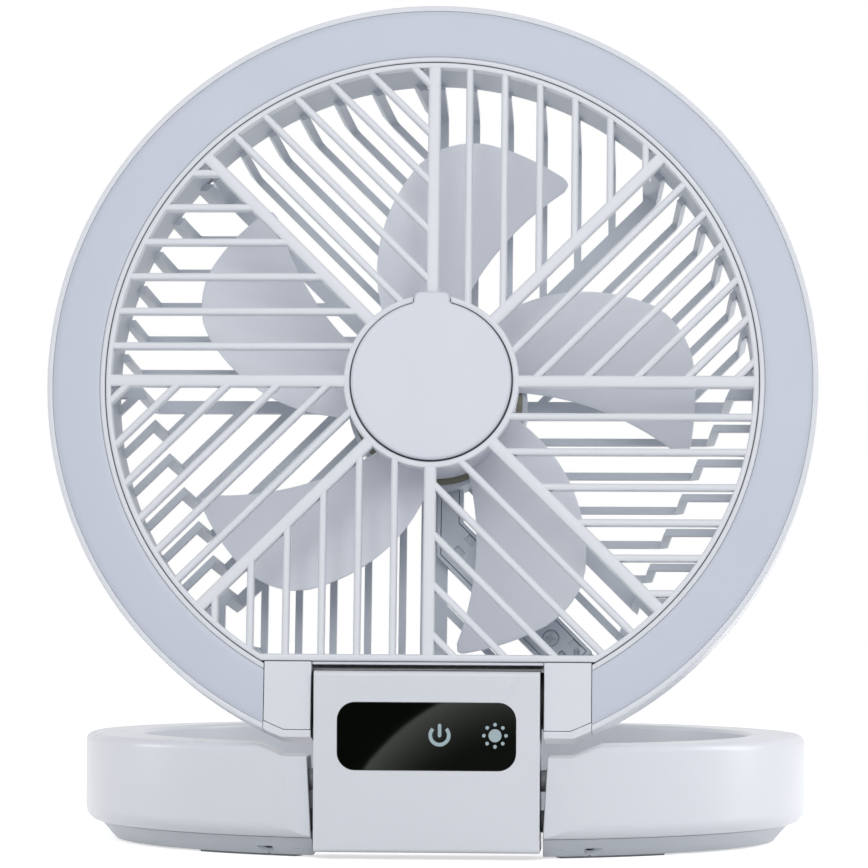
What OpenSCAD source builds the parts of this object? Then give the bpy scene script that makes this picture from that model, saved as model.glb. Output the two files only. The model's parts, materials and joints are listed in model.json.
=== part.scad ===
// Folding camping fan: a round head with a light band stands on a ring base.
// The head tilts on two ears beside the control housing and folds flat onto the ring.
// The row frame has +Z up and the fan faces -Y. Its origin is the middle of the footprint.

/* [Head] */
// Outside diameter of the round head
head_d = 250; // [240:1:300]
// Depth of the head's rim, front to back
head_depth = 26.5; // [25:0.5:30]
// Width of the bare rim outside the light band
rim_w = 1.8; // [1.3:0.1:2.4]
// Width of the light band
band_w = 15.4; // [13:0.2:18.8]
// Width of the bead inside the light band
bead_w = 1.7; // [1.4:0.1:2.2]
// Radius of the soft rear edge of the rim
rim_back_r = 9; // [9:0.2:9.6]
// Depth of the front frame, up to its joint with the rear shell
frame_depth = 14; // [12:0.5:15]
// Wall of the moulded shells of the head
head_wall = 1.8; // [1.6:0.1:2]
// How far the head leans back at rest, in degrees
head_tilt = 7.7; // [0:0.1:20]

/* [Grilles] */
// Width of the grille's outer ring
grille_ring_w = 1.8; // [1.5:0.1:2.4]
// Depth of the front grille
grille_depth = 4; // [3.4:0.2:5]
// Distance between neighbouring ribs
rib_pitch = 11.5; // [9.6:0.1:13.8]
// Width of a front rib
rib_w = 2.3; // [1.7:0.1:2.6]
// Width of a front main spoke
spoke_w = 4; // [3:0.1:4.4]
// Width of a rear rib
rear_rib_w = 2.4; // [2:0.1:2.9]
// Width of a rear main spoke
rear_spoke_w = 4.2; // [3.5:0.1:5.1]
// Height of the bar along the foot of the front grille
bar_w = 2.2; // [1.8:0.1:2.7]
// Outer radius of the ring around the hub cap
hub_ring_r = 28.5; // [28:0.1:30]
// Radius of the hub cap
hub_cap_r = 26; // [24:0.1:26.2]
// Depth of the rear grille's flat back behind the front face
cage_depth = 53.5; // [51:0.5:58]
// Distance from the blade tips to the outside of the rear grille's straight sides
cage_side_gap = 4.9; // [4.2:0.1:5.3]

/* [Impeller and motor] */
// Radius at the blade tips
tip_r = 85.5; // [75:0.5:90]
// Number of blades
blade_count = 5; // [3:1:7]
// Radius of the impeller's hub
hub_r = 26.5; // [25.5:0.1:27.5]
// Diameter of the motor shaft
shaft_d = 4; // [3.2:0.1:4.4]
// Number of stator poles
pole_count = 9; // [9:1:9]

/* [Hinge] */
// Distance of the hinge axis inside the head's outline
hinge_inset = 22.5; // [20:0.5:25]
// Depth of the hinge axis behind the head's front face
hinge_depth = 13; // [12:0.2:13.4]
// Diameter of the hinge pins
pin_d = 6; // [5:0.2:7.2]
// Width of each ear
ear_w = 15.4; // [13:0.2:18.4]
// Height of the ears below the hinge axis
ear_below = 13.4; // [12.6:0.2:13.6]

/* [Base] */
// Height of the ring base
ring_h = 36.6; // [34:0.2:44]
// Width of the ring, from its hole to its outside
ring_w = 19; // [18:0.2:19.6]
// How much smaller the ring's radius is than the head's
ring_inset = 1; // [0.5:0.1:2]
// Wall of the base's moulded shells
base_wall = 2.2; // [1.8:0.1:2.6]
// Height of the joint between the top shell and the bottom cover
joint_z = 6.5; // [6:0.1:7.4]
// Width of the control housing
housing_w = 72.3; // [70.6:0.1:86]
// How far the housing's front face stands before the hinge axis
housing_front = 16.65; // [16.6:0.05:18]
// Radius of the housing's rounded top back edge
housing_back_r = 9.7; // [9.7:0.05:9.9]
// Wall of the control housing
housing_wall = 2; // [1.7:0.1:2.2]
// Width of the touch panel
panel_w = 57.2; // [48:0.1:60]
// Height of the touch panel
panel_h = 21.7; // [18:0.1:23]
// Diameter of a battery cell
cell_d = 18.4; // [15.4:0.1:18.4]
// Length of a battery cell
cell_len = 65; // [54:0.5:65]

/* [Hidden] */

$fn = 120;
far = 400;         // longer than the whole fan, for cuts that pass right through
eps = 0.01;        // overlap that joins two solids of one node

// Clearances
fit = 0.2;         // between a cover or grille and the frame around it
snug = 0.1;        // between pieces that seat on each other
fold_gap = 0.4;    // between the folded head and the ring
side_gap = 1.05;   // between the housing and each ear or wing
turn_fit = 0.05;   // radial, of the ears on the hinge pins
spin_fit = 0.03;   // radial, of the shaft in its bearings
thread_fit = 0.05; // radial, of a screw in its pilot hole

// Head, measured from its axis and from its front face
head_r = head_d / 2;
rim_in_r = head_r - rim_w;
bead_out_r = rim_in_r - band_w;
bead_in_r = bead_out_r - bead_w;
grille_r = bead_in_r - fit;
duct_r = grille_r - grille_ring_w;
hinge_drop = head_r - hinge_inset;
bar_low = hinge_drop - 11.2;
bar_high = bar_low - bar_w;
duct_floor = hinge_drop - 10.5;
duct_floor_top = duct_floor - 1.5;
foot_lip_low = hinge_drop - housing_back_r - fold_gap;
foot_lip_front = 1;
ear_low = hinge_drop + ear_below;
lip_h = 2.4;
cover_low = ear_low - lip_h;
ear_in = housing_w / 2 + side_gap;
ear_out = ear_in + ear_w;
ear_cover_t = 2;
ear_rim = 2.6;
ear_wall = 3.8;
band_t = 1.6;
shelf_w = 0.8;
frame_floor = frame_depth - head_wall;
board_t = 1.6;
chip_t = 0.8;
back_inner = head_depth - head_wall;

// Rear grille: a sleeve through the head, and a cage that is round above and has
// straight sides leaning in below
cage_wall = 2.6;
cage_side = tip_r + cage_side_gap;
cage_side_angle = 24;
cage_lean = 2.3;
cage_swing = 7.5;
cage_bevel = 2.2;
cage_floor = duct_floor_top - 0.2;
ledge_front = head_depth - 4.1;
ledge_back = head_depth - 1.5;
flange_r = grille_r + 3.6;
flange_back = back_inner - snug;
flange_front = flange_back - 1.6;
grille_screw_r = grille_r + 1.9;
grille_screw_angles = [-30, 15, 65, 115, 165, 210];
cup_r = 29.8;
cup_wall = 1.5;
cup_front = 38.4;
cup_floor = cage_depth - cage_wall;
channel_w = 14.3;
channel_step = 2.5 * rib_pitch;
channel_side = 1.2;
lid_t = 1.4;
lid_front = cup_floor - 4.1;
channel_back = cage_depth - 0.8;
channel_end = (cage_floor - cage_wall - 5.4) * sqrt(2) - channel_step + channel_w / 2;
lid_screw_along = channel_end - 12.7;
lid_screw_aside = 0.5;
lid_screw_r = 2.7;
neck_w = 8.6;
foot_strip = [-5.5, 3.4];

// Cable from the housing through the right-hand hinge pin to the motor
wire_r = 1;
cable_x = ear_in + 10;
cable_depth = ledge_front - wire_r - 1.4;
cable_floor = cage_floor - cage_wall - wire_r - snug - (cup_floor - ledge_front) * tan(cage_lean);
wire_lane = channel_step + 3.9;
entry_x = neck_w / 2;

// Motor
shaft_r = shaft_d / 2;
bearing_r = 3;
tube_r = 4.5;
stator_r = 19;
magnet_r = 21.6;
can_r = 23;
hub_front = 8;
hub_back = 36.8;
hub_wall = 1.8;
stator_front = 18;
stator_back = 30;
motor_board_front = 38;

// Ring base
ring_r = head_r - ring_inset;
ring_hole_r = ring_r - ring_w;
cage_top_r = min(grille_r, ring_hole_r - 0.3);
ring_y = (hinge_drop + housing_front - ring_r) / 2;
hinge_y = ring_y - hinge_drop;
hinge_z = ring_h + head_depth - hinge_depth + fold_gap;
foot_h = 0.6;
cover_top = foot_h + 1.8;
low_r = 5;
top_r = 2.8;
wing_low = ear_in - 0.2;
wing_lean = 1.6;
neck_z = ring_h - 3.8;
neck_in = ear_in + 9.2;
neck_out = ear_out + 3.2;
facet_x = ear_in + 8.1;
facet_y = ring_y - sqrt(ring_r * ring_r - facet_x * facet_x);
base_screw_r = ring_hole_r + 5.5;
foot_span = 20;
wing_angle = asin((wing_low + 4) / (ring_hole_r + 3));
foot_angles = [wing_angle + foot_span / 2 - 90, 32, 148, -wing_angle - foot_span / 2 - 90];
screw_angle = wing_angle + foot_span + 5;
base_screw_angles = [screw_angle - 90, 5, 60, 120, 175, -screw_angle - 90];

// Control housing
housing_x = housing_w / 2;
housing_low = 2.3;
housing_top = hinge_z + housing_back_r;
housing_edge = 1.5;
front_wall = 2.4;
front_y = hinge_y - housing_front;
back_y = hinge_y + housing_back_r;
inside_front = front_y + front_wall;
inside_back = back_y - housing_wall;
inside_x = housing_x - housing_wall;
inside_low = housing_low + housing_wall;
boss_r = 5.6;
pin_r = pin_d / 2;
opening_top = hinge_z - 0.9;
panel_z = hinge_z - 11.05;
panel_r = 5.7;
panel_t = 1.6;
symbol_t = 0.3;
board_z = hinge_z - 7.5;
deck_t = 1.2;
cell_r = cell_d / 2;
cell_gap = 0.6;
cell_count = floor((board_z - inside_low - cell_gap) / (cell_d + cell_gap));
cell_y = (inside_front + inside_back) / 2 + 0.2;
wing_screw_y = front_y + 12.6;
wing_screw_z = [12, 25];
tab_w = 6;
tab_x = [-28, 22];
socket_w = 9;
socket_h = 3.3;
socket_len = 7.3;

// ---------- helpers ----------

// Points along an arc about c
function arc(c, r, a0, a1, n = 8) =
    [for (i = [0:n]) let (a = a0 + (a1 - a0) * i / n) [c[0] + r * cos(a), c[1] + r * sin(a)]];

// Point at radius r and angle a
function polar(r, a) = [r * cos(a), r * sin(a)];

// Puts a piece drawn on the head's own axes into place on the tilted head.
// On those axes x is right, y is up, and z = 0 is the front face with z < 0 behind it.
module on_head() {
    translate([0, hinge_y, hinge_z]) rotate([-head_tilt, 0, 0])
        translate([0, -hinge_depth, hinge_drop]) rotate([90, 0, 0]) children();
}

// Extrudes a flat shape between two depths behind the head's front face
module slab(front, back) {
    translate([0, 0, -back]) linear_extrude(back - front) children();
}

module disc(r, front, back) {
    slab(front, back) circle(r);
}

module tube(r_out, r_in, front, back) {
    difference() {
        disc(r_out, front, back);
        disc(r_in, front - 1, back + 1);
    }
}

// A flat shape without what lies lower than y = -drop
module above(drop) {
    difference() {
        children();
        translate([-far, -drop - far]) square([2 * far, far]);
    }
}

module at_both_sides() {
    children();
    mirror([1, 0, 0]) children();
}

// A rod along X between two distances from the middle, on one side
module rod_x(x0, x1, r, y, z) {
    translate([x0, y, z]) rotate([0, 90, 0]) cylinder(h = x1 - x0, r = r);
}

module rod_y(y0, y1, r, x, z) {
    translate([x, y0, z]) rotate([-90, 0, 0]) cylinder(h = y1 - y0, r = r);
}

module box(x0, x1, y0, y1, z0, z1) {
    translate([x0, y0, z0]) cube([x1 - x0, y1 - y0, z1 - z0]);
}

// Extrudes a flat shape drawn in X and Z along Y
module along_y(y0, y1) {
    translate([0, y1, 0]) rotate([90, 0, 0]) linear_extrude(y1 - y0) children();
}

// Extrudes a flat shape drawn in Y and Z along X, about the middle
module along_x(half) {
    rotate([90, 0, 90]) translate([0, 0, -half]) linear_extrude(2 * half) children();
}

module round_rect(w, h, r) {
    polygon(concat(
        arc([w / 2 - r, h / 2 - r], r, 0, 90),
        arc([r - w / 2, h / 2 - r], r, 90, 180),
        arc([r - w / 2, r - h / 2], r, 180, 270),
        arc([w / 2 - r, r - h / 2], r, 270, 360)));
}

// A cable through a list of points, with a slightly fuller bend at each
module cable(points, r) {
    for (i = [0:len(points) - 2]) {
        let (step = points[i + 1] - points[i], run = norm(step))
            translate(points[i])
                rotate([0, acos(step[2] / run), atan2(step[1], step[0])])
                    cylinder(h = run, r = r);
        translate(points[i + 1]) sphere(r + 0.1);
    }
}

// ---------- ring base ----------

// The ring's outside, as radius and height
module ring_section() {
    polygon(concat(
        [[ring_hole_r, cover_top], [ring_hole_r, ring_h - 1], [ring_hole_r + 1, ring_h]],
        arc([ring_r - top_r, ring_h - top_r], top_r, 90, 0, 5),
        arc([ring_r - low_r, joint_z + low_r], low_r, 0, -90, 6),
        [[ring_hole_r + base_wall, joint_z], [ring_hole_r + base_wall, cover_top]]));
}

// The hollow inside it, open at the bottom
module hollow_section() {
    hole_side = ring_hole_r + base_wall;
    polygon(concat(
        [[hole_side, joint_z - 1], [hole_side, ring_h - base_wall]],
        [[ring_r - base_wall - 1, ring_h - base_wall], [ring_r - base_wall, ring_h - base_wall - 1]],
        arc([ring_r - low_r, joint_z + low_r], low_r - base_wall, 0, -90, 6),
        [[ring_r - low_r - 2, joint_z + base_wall], [ring_r - low_r - 2, joint_z - 1]]));
}

// What is cut from the front of the ring: the housing's slot between leaning wing ends,
// the neck under the ears, and the flat faces beside the housing
module front_cuts(wall) {
    lean = wing_lean / (neck_z - joint_z);
    along_y(ring_y - ring_r - 1, ring_y - ring_hole_r / 2)
        polygon([for (p = [[-1, 0], [1, 0], [1, far / 4], [-1, far / 4]])
            [p[0] * (wing_low + wall + (p[1] - joint_z) * lean), p[1]]]);
    at_both_sides() along_y(ring_y - ring_r - 1, ring_y - ring_hole_r / 2)
        polygon([
            [wing_low - 1, neck_z - wall], [neck_in, neck_z - wall],
            [neck_out, ring_h - wall], [neck_out + 1, ring_h + 1], [wing_low - 1, ring_h + 1]]);
    box(-facet_x - 1, facet_x + 1, ring_y - far, facet_y + wall, -1, far);
}

module at_base_screws() {
    for (a = base_screw_angles)
        translate([base_screw_r * cos(a), ring_y + base_screw_r * sin(a), 0]) children();
}

module base_top_shell() {
    color("gainsboro") difference() {
        union() {
            difference() {
                translate([0, ring_y, 0]) rotate_extrude() ring_section();
                front_cuts(0);
                difference() {
                    translate([0, ring_y, 0]) rotate_extrude() hollow_section();
                    front_cuts(base_wall);
                }
            }
            at_base_screws() translate([0, 0, cover_top + 2]) cylinder(h = ring_h - cover_top - 3, r = 3.4);
            for (z = wing_screw_z) at_both_sides()
                rod_x(housing_x + thread_fit, ear_in + 6.6, 3.6, wing_screw_y, z);
        }
        at_base_screws() cylinder(h = 20, r = 1.15);
        for (z = wing_screw_z) at_both_sides() rod_x(housing_x - 1, ear_in + 8, 1.6, wing_screw_y, z);
    }
}

// The cover's section: flat underneath, leaning out to the joint with the top shell
module cover_section() {
    polygon([
        [ring_hole_r + snug, foot_h], [ring_r - 10.4, foot_h], [ring_r - low_r - 0.2, joint_z - snug],
        [ring_r - low_r - 2.2, joint_z - snug], [ring_r - 11.2, cover_top],
        [ring_hole_r + snug, cover_top]]);
}

module base_bottom_cover() {
    notch_x = ear_in + 16;
    slit_x = ear_in + 4.3;
    color("silver") difference() {
        union() {
            difference() {
                translate([0, ring_y, 0]) rotate_extrude() cover_section();
                box(-wing_low, wing_low, ring_y - far, ring_y - ring_hole_r / 2, -1, joint_z + 1);
            }
            at_base_screws() translate([0, 0, cover_top - eps]) cylinder(h = 1.9, r = 3.4);
        }
        translate([0, ring_y, 0]) for (a = foot_angles) foot_block(a, foot_h + 0.5);
        at_base_screws() {
            cylinder(h = 10, r = 1.4);
            cylinder(h = foot_h + 1.3, r = 2.7);
        }
        at_both_sides() translate([notch_x, ring_y - sqrt(pow(ring_r - 8, 2) - notch_x * notch_x), 0])
            cylinder(h = 3.2, r = 3);
        at_both_sides() box(slit_x, slit_x + 1.9, ring_y - ring_r, ring_y - ring_r + 17, -1, 3);
    }
}

// One arc-shaped foot block about the ring's axis
module foot_block(a, h) {
    rotate([0, 0, a - foot_span / 2]) rotate_extrude(angle = foot_span)
        translate([ring_hole_r + 3, 0]) square([5, h]);
}

module rubber_feet() {
    color("dimgray") translate([0, ring_y, 0]) for (a = foot_angles) foot_block(a, foot_h + 0.5);
}

module base_screws() {
    color("silver") at_base_screws() {
        translate([0, 0, foot_h + 0.3]) cylinder(h = 1, r = 2.5);
        translate([0, 0, foot_h + 1]) cylinder(h = 13, r = 1.1);
    }
}

// ---------- control housing ----------

// Side view of the housing in Y and Z, drawn inside its outline by inset
module housing_side(inset, front_inset) {
    low = housing_low + inset;
    front = front_y + front_inset;
    polygon(concat(
        [[hinge_y, housing_top - inset]],
        arc([hinge_y, hinge_z], housing_back_r - inset, 90, 0, 10),
        [[back_y - inset, low]],
        arc([front + housing_edge, low + housing_edge], housing_edge, 270, 180, 4),
        arc([front + housing_edge, housing_top - inset - housing_edge], housing_edge, 180, 90, 4)));
}

module panel_outline(grow) {
    translate([0, panel_z]) round_rect(panel_w + 2 * grow, panel_h + 2 * grow, panel_r + grow);
}

module control_housing() {
    color("gainsboro") difference() {
        union() {
            difference() {
                along_x(housing_x) housing_side(0, 0);
                along_x(inside_x) housing_side(housing_wall, front_wall);
                box(-inside_x, inside_x, inside_back - 0.5, back_y + 1, inside_low, opening_top);
                for (x = tab_x) box(x - 0.1, x + tab_w + 0.1, inside_back - 1, back_y - 0.8, inside_low - 1, inside_low);
            }
            intersection() {
                along_x(housing_x) housing_side(0, 0);
                at_both_sides() {
                    rod_x(24, inside_x + eps, boss_r, hinge_y, hinge_z);
                    box(27.4, inside_x + eps, hinge_y - 1, inside_back - snug, board_z, hinge_z);
                    for (z = wing_screw_z) rod_x(inside_x - 0.8, inside_x + eps, 3, wing_screw_y, z);
                }
            }
        }
        at_both_sides() rod_x(23, housing_x + 1, pin_r, hinge_y, hinge_z);
        for (z = wing_screw_z) at_both_sides() rod_x(inside_x - 1, housing_x + 1, 1.5, wing_screw_y, z);
        at_both_sides() rod_y(hinge_y + 1, back_y, 0.95, 30, board_z + 2);
        along_y(front_y - 1, front_y + panel_t) panel_outline(snug);
        along_y(front_y, inside_front + 1) translate([0, panel_z]) square([panel_w - 10, panel_h - 8], center = true);
    }
}

module housing_rear_cover() {
    socket_z = board_z + deck_t + socket_h / 2;
    color("gainsboro") difference() {
        union() {
            box(-inside_x + fit, inside_x - fit, inside_back, back_y, inside_low + fit, opening_top - fit);
            for (x = tab_x) box(x, x + tab_w, inside_back - 0.9, back_y - 0.9, inside_low - 0.9, inside_low + 1);
        }
        along_y(inside_back - 1, back_y + 1) translate([0, socket_z])
            round_rect(socket_w + 0.4, socket_h + 0.4, 1.7);
        at_both_sides() rod_y(inside_back - 1, back_y + 1, 1.1, 30, board_z + 2);
        at_both_sides() rod_y(back_y - 0.9, back_y + 1, 2.1, 30, board_z + 2);
    }
}

module housing_screws() {
    color("silver") for (z = wing_screw_z) at_both_sides() {
        rod_x(inside_x - 0.8, ear_in + 6.7, 1.45, wing_screw_y, z);
        rod_x(ear_in + 6.65, ear_in + 8.6, 2.8, wing_screw_y, z);
    }
}

module rear_cover_screws() {
    color("silver") at_both_sides() {
        rod_y(hinge_y + 2, back_y - 0.8, 0.9, 30, board_z + 2);
        rod_y(back_y - 0.9, back_y - 0.1, 1.9, 30, board_z + 2);
    }
}

// The open ring and bar of the power mark
module power_shape() {
    ring_mid = 2.96;
    stroke = 1.15;
    gap = 46;
    bar = 1.1;
    polygon(concat(
        arc([0, 0], ring_mid + stroke / 2, 90 + gap, 450 - gap, 40),
        arc([0, 0], ring_mid - stroke / 2, 450 - gap, 90 + gap, 40)));
    for (y = [bar / 2 - 0.6, 3.7 - bar / 2]) translate([0, y]) circle(bar / 2, $fn = 24);
    translate([-bar / 2, bar / 2 - 0.6]) square([bar, 4.3 - bar]);
}

// A small sun: one dot with eight around it
module light_shape() {
    circle(2.07);
    for (a = [0:45:315]) translate(polar(3.52, a)) circle(0.57, $fn = 24);
}

power_x = 4.2;
light_x = 21.9;
symbol_z = panel_z + 0.4;

module touch_panel() {
    color("black") difference() {
        along_y(front_y, front_y + panel_t) panel_outline(0);
        along_y(front_y - 1, front_y + symbol_t) translate([power_x, symbol_z]) power_shape();
        along_y(front_y - 1, front_y + symbol_t) translate([light_x, symbol_z]) light_shape();
    }
}

module power_symbol() {
    color("lightsteelblue") along_y(front_y, front_y + symbol_t)
        translate([power_x, symbol_z]) power_shape();
}

module light_symbol() {
    color("lightsteelblue") along_y(front_y, front_y + symbol_t)
        translate([light_x, symbol_z]) light_shape();
}

module touch_board() {
    color("darkgreen") along_y(inside_front, inside_front + deck_t)
        translate([0, panel_z]) square([panel_w - 12, panel_h - 4], center = true);
}

module control_board() {
    color("darkgreen") box(-22, 22, inside_front + 2.4, inside_back - 1, board_z, board_z + deck_t);
}

module control_chips() {
    chip_y = hinge_y - 5;
    color([0.15, 0.15, 0.16]) for (c = [[-15, 7, 7, 1.2], [-4, 5, 4, 1.1], [5, 4, 4, 2.6], [13, 6, 6, 3]])
        box(c[0] - c[1] / 2, c[0] + c[1] / 2, chip_y - c[2] / 2, chip_y + c[2] / 2,
            board_z + deck_t, board_z + deck_t + c[3]);
}

module charge_socket() {
    socket_z = board_z + deck_t + socket_h / 2;
    color("silver") {
        along_y(back_y - 0.2 - socket_len, back_y - 0.2) translate([0, socket_z]) difference() {
            round_rect(socket_w, socket_h, 1.5);
            round_rect(socket_w - 0.7, socket_h - 0.7, 1.2);
        }
        along_y(back_y - 0.2 - socket_len, back_y - 0.2 - socket_len + 1.5)
            translate([0, socket_z]) square([socket_w - 0.7, socket_h - 0.7], center = true);
        along_y(back_y - socket_len, back_y - 1) translate([0, socket_z]) square([6.7, 0.7], center = true);
    }
}

function cell_z(i) = inside_low + cell_gap + cell_r + i * (cell_d + cell_gap);

module battery_cells() {
    color("steelblue") for (i = [0:cell_count - 1])
        rod_x(-cell_len / 2, cell_len / 2, cell_r, cell_y, cell_z(i));
}

module battery_cradle() {
    color("dimgray") for (x = [-20, 20]) difference() {
        box(x - 1.5, x + 1.5, inside_front + deck_t + snug, inside_back - snug,
            inside_low, cell_z(cell_count - 1));
        for (i = [0:cell_count - 1]) rod_x(-far, far, cell_r + thread_fit, cell_y, cell_z(i));
    }
}

module battery_strips() {
    color("lightgray") at_both_sides()
        box(cell_len / 2, cell_len / 2 + 0.3, cell_y - 3, cell_y + 3, cell_z(0) - 4, cell_z(cell_count - 1) + 4);
}

// ---------- hinge ----------

module rings_x(x0, x1, r_out, r_in) {
    difference() {
        rod_x(x0, x1, r_out, hinge_y, hinge_z);
        rod_x(x0 - 1, x1 + 1, r_in, hinge_y, hinge_z);
    }
}

module hinge_pins() {
    color("silver") at_both_sides() rings_x(25, ear_in + ear_wall + 4.4, pin_r, 1.6);
}

module friction_washers() {
    washer_r = housing_back_r - 0.5;
    color("dimgray") at_both_sides() rings_x(housing_x + thread_fit, ear_in - thread_fit, washer_r, pin_r + turn_fit);
}

module spring_washers() {
    x0 = ear_in + ear_wall + snug;
    color("gray") at_both_sides() difference() {
        translate([x0, hinge_y, hinge_z]) rotate([0, 90, 0]) cylinder(h = 1.1, r1 = pin_r + 1.6, r2 = pin_r + 2.6);
        rod_x(x0 - 1, x0 + 2, pin_r, hinge_y, hinge_z);
        translate([x0 + 0.5, hinge_y, hinge_z]) rotate([0, 90, 0])
            cylinder(h = 0.7, r1 = pin_r + 1.2, r2 = pin_r + 2);
    }
}

module retaining_rings() {
    x0 = ear_in + ear_wall + snug + 1.1;
    color("dimgray") at_both_sides() rings_x(x0, x0 + 1, pin_r + 2.2, pin_r);
}

module hinge_cable() {
    color([0.2, 0.2, 0.2]) cable([
        [19, hinge_y, board_z + deck_t + wire_r],
        [21.6, hinge_y, board_z + deck_t + wire_r],
        [21.6, hinge_y, hinge_z],
        [housing_x - 1, hinge_y, hinge_z]], wire_r);
}

// ---------- head ----------

// A round shape on the head without its foot between the ears
module without_foot(drop) {
    difference() {
        children();
        translate([-ear_out - snug, -drop - far]) square([2 * (ear_out + snug), far]);
    }
}

module at_shell_screws() {
    for (a = [90, 38, 142, -8, 188, -48, 228]) rotate([0, 0, a]) translate([bead_out_r + 5.2, 0, 0]) children();
}

module head_front_frame() {
    outside = 0.6;
    color("whitesmoke") on_head() difference() {
        union() {
            rotate_extrude() polygon(concat(
                [[bead_in_r, 0], [bead_out_r, 0], [bead_out_r, -band_t - snug],
                [bead_out_r + shelf_w, -band_t - snug], [bead_out_r + shelf_w, -3], [bead_out_r, -3],
                [bead_out_r, -frame_floor], [rim_in_r, -frame_floor], [rim_in_r, -3],
                [rim_in_r - shelf_w, -3], [rim_in_r - shelf_w, -band_t - snug],
                [rim_in_r, -band_t - snug], [rim_in_r, 0]],
                arc([head_r - outside, -outside], outside, 90, 0, 4),
                [[head_r, -frame_depth], [bead_in_r, -frame_depth]]));
            at_shell_screws() translate([0, 0, -back_inner + snug])
                cylinder(h = back_inner - frame_depth, r = 3.2);
        }
        slab(-1, head_depth) translate([-ear_out - snug, -far]) square([2 * (ear_out + snug), far - bar_high + 1]);
        at_shell_screws() translate([0, 0, -head_depth]) cylinder(h = head_depth - frame_depth - 1, r = 1.15);
    }
}

module light_diffuser() {
    color("aliceblue") on_head() slab(0, band_t) without_foot(bar_high) difference() {
        circle(rim_in_r - snug);
        circle(bead_out_r + snug);
    }
}

module light_board() {
    color("white") on_head() slab(frame_floor - board_t, frame_floor) without_foot(bar_high) difference() {
        circle(rim_in_r - 2.4);
        circle(bead_out_r + 2.2);
    }
}

module light_chips() {
    chip = 3;
    chip_r = (rim_in_r + bead_out_r) / 2;
    color("lemonchiffon") on_head() for (a = [-54:8:234]) rotate([0, 0, a])
        slab(frame_floor - board_t - chip_t, frame_floor - board_t)
            translate([chip_r, 0]) square([chip, chip], center = true);
}

// Radius and depth of the rear shell: the flat back and the soft outer edge
module rear_section() {
    turn = [head_r - rim_back_r, rim_back_r - head_depth];
    polygon(concat(
        [[grille_r + snug, -head_depth]],
        arc(turn, rim_back_r, -90, 0, 10),
        [[head_r, -frame_depth - snug], [head_r - head_wall, -frame_depth - snug]],
        arc(turn, rim_back_r - head_wall, 0, -90, 10),
        [[grille_r + snug, -back_inner]]));
}

// The strip of wall between the ears, inside a circle
module foot_strip(r, front) {
    slab(front, head_depth) intersection() {
        circle(r);
        translate([-far, -duct_floor]) square([2 * far, duct_floor - duct_floor_top]);
    }
}

// Side view of an ear, as depth and height, with its soft rear foot
module ear_side(front, inset) {
    back = head_depth - inset;
    low = ear_low - inset;
    r = rim_back_r - inset;
    polygon(concat(
        [[-front, -bar_low - snug], [-front, -low]],
        arc([r - back, r - low], r, 270, 180, 10),
        [[-back, -bar_low - snug]]));
}

// Extrudes a side view, drawn as depth and height, across the head
module across(x0, x1) {
    translate([x0, 0, 0]) rotate([90, 0, 90]) linear_extrude(x1 - x0) mirror([1, -1, 0]) children();
}

// The round outside of the head with its soft rear edge, drawn in by inset
module head_envelope(inset) {
    r = rim_back_r - inset;
    rotate_extrude() polygon(concat(
        [[0, 1], [0, inset - head_depth]],
        arc([head_r - rim_back_r, rim_back_r - head_depth], r, -90, 0, 10),
        [[head_r - inset, 1]]));
}

// The head's outline inside the lip that runs round each ear's front
module ear_opening(grow) {
    above(cover_low + grow) circle(head_r - ear_rim + grow);
}

module ear_block(front, x0, x1, inset) {
    intersection() {
        across(x0, x1) ear_side(front, inset);
        head_envelope(inset);
    }
}

module head_rear_shell() {
    color("whitesmoke") on_head() difference() {
        union() {
            difference() {
                rotate_extrude() rear_section();
                slab(-1, head_depth + 1) translate([-ear_out, -duct_floor_top - far]) square([2 * ear_out, far]);
            }
            foot_strip(grille_r, grille_depth);
            foot_strip(grille_r + 4, frame_depth + snug);
            slab(foot_lip_front, frame_depth + 2) translate([-ear_in - eps, -foot_lip_low])
                square([2 * (ear_in + eps), foot_lip_low - bar_low - snug]);
            for (side = [0, 1]) mirror([side, 0, 0]) {
                difference() {
                    ear_block(ear_cover_t + fit, ear_in, ear_out, 0);
                    ear_block(ear_cover_t - 1, ear_in + ear_wall, ear_out + 1, head_wall);
                }
                intersection() {
                    ear_block(0, ear_in, ear_out, 0);
                    slab(0, ear_cover_t + fit + eps) difference() {
                        translate([0, -far]) square([far, far]);
                        ear_opening(snug);
                    }
                }
            }
        }
        for (side = [0, 1]) mirror([side, 0, 0]) translate([ear_in - 1, -hinge_drop, -hinge_depth])
            rotate([0, 90, 0]) cylinder(h = ear_wall + 2, r = pin_r + turn_fit);
        at_shell_screws() translate([0, 0, -head_depth - 1]) cylinder(h = 4, r = 1.4);
        at_shell_screws() translate([0, 0, -head_depth - 1]) cylinder(h = 2.1, r = 2.9);
        at_grille_screws() disc(grille_pin_r + thread_fit, back_inner - 1, head_depth - 0.3);
        cable_hole();
    }
}

grille_pin_r = 0.8;

module at_grille_screws() {
    for (a = grille_screw_angles) rotate([0, 0, a]) translate([grille_screw_r, 0, 0]) children();
}

// Where the cable comes up through the head's foot
module cable_hole() {
    translate([cable_x, -duct_floor - 1, -cable_depth]) rotate([-90, 0, 0]) cylinder(h = 8, r = wire_r + 0.5);
}

module ear_covers() {
    color("gainsboro") on_head() for (side = [0, 1]) mirror([side, 0, 0]) slab(0, ear_cover_t) intersection() {
        ear_opening(0);
        translate([ear_in + snug, -cover_low]) square([ear_w - fit, cover_low - bar_low - fit]);
    }
}

// The 45 degree sector that starts at angle a
module sector(a) {
    polygon([[0, 0], polar(far, a), polar(far, a + 22.5), polar(far, a + 45)]);
}

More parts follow.
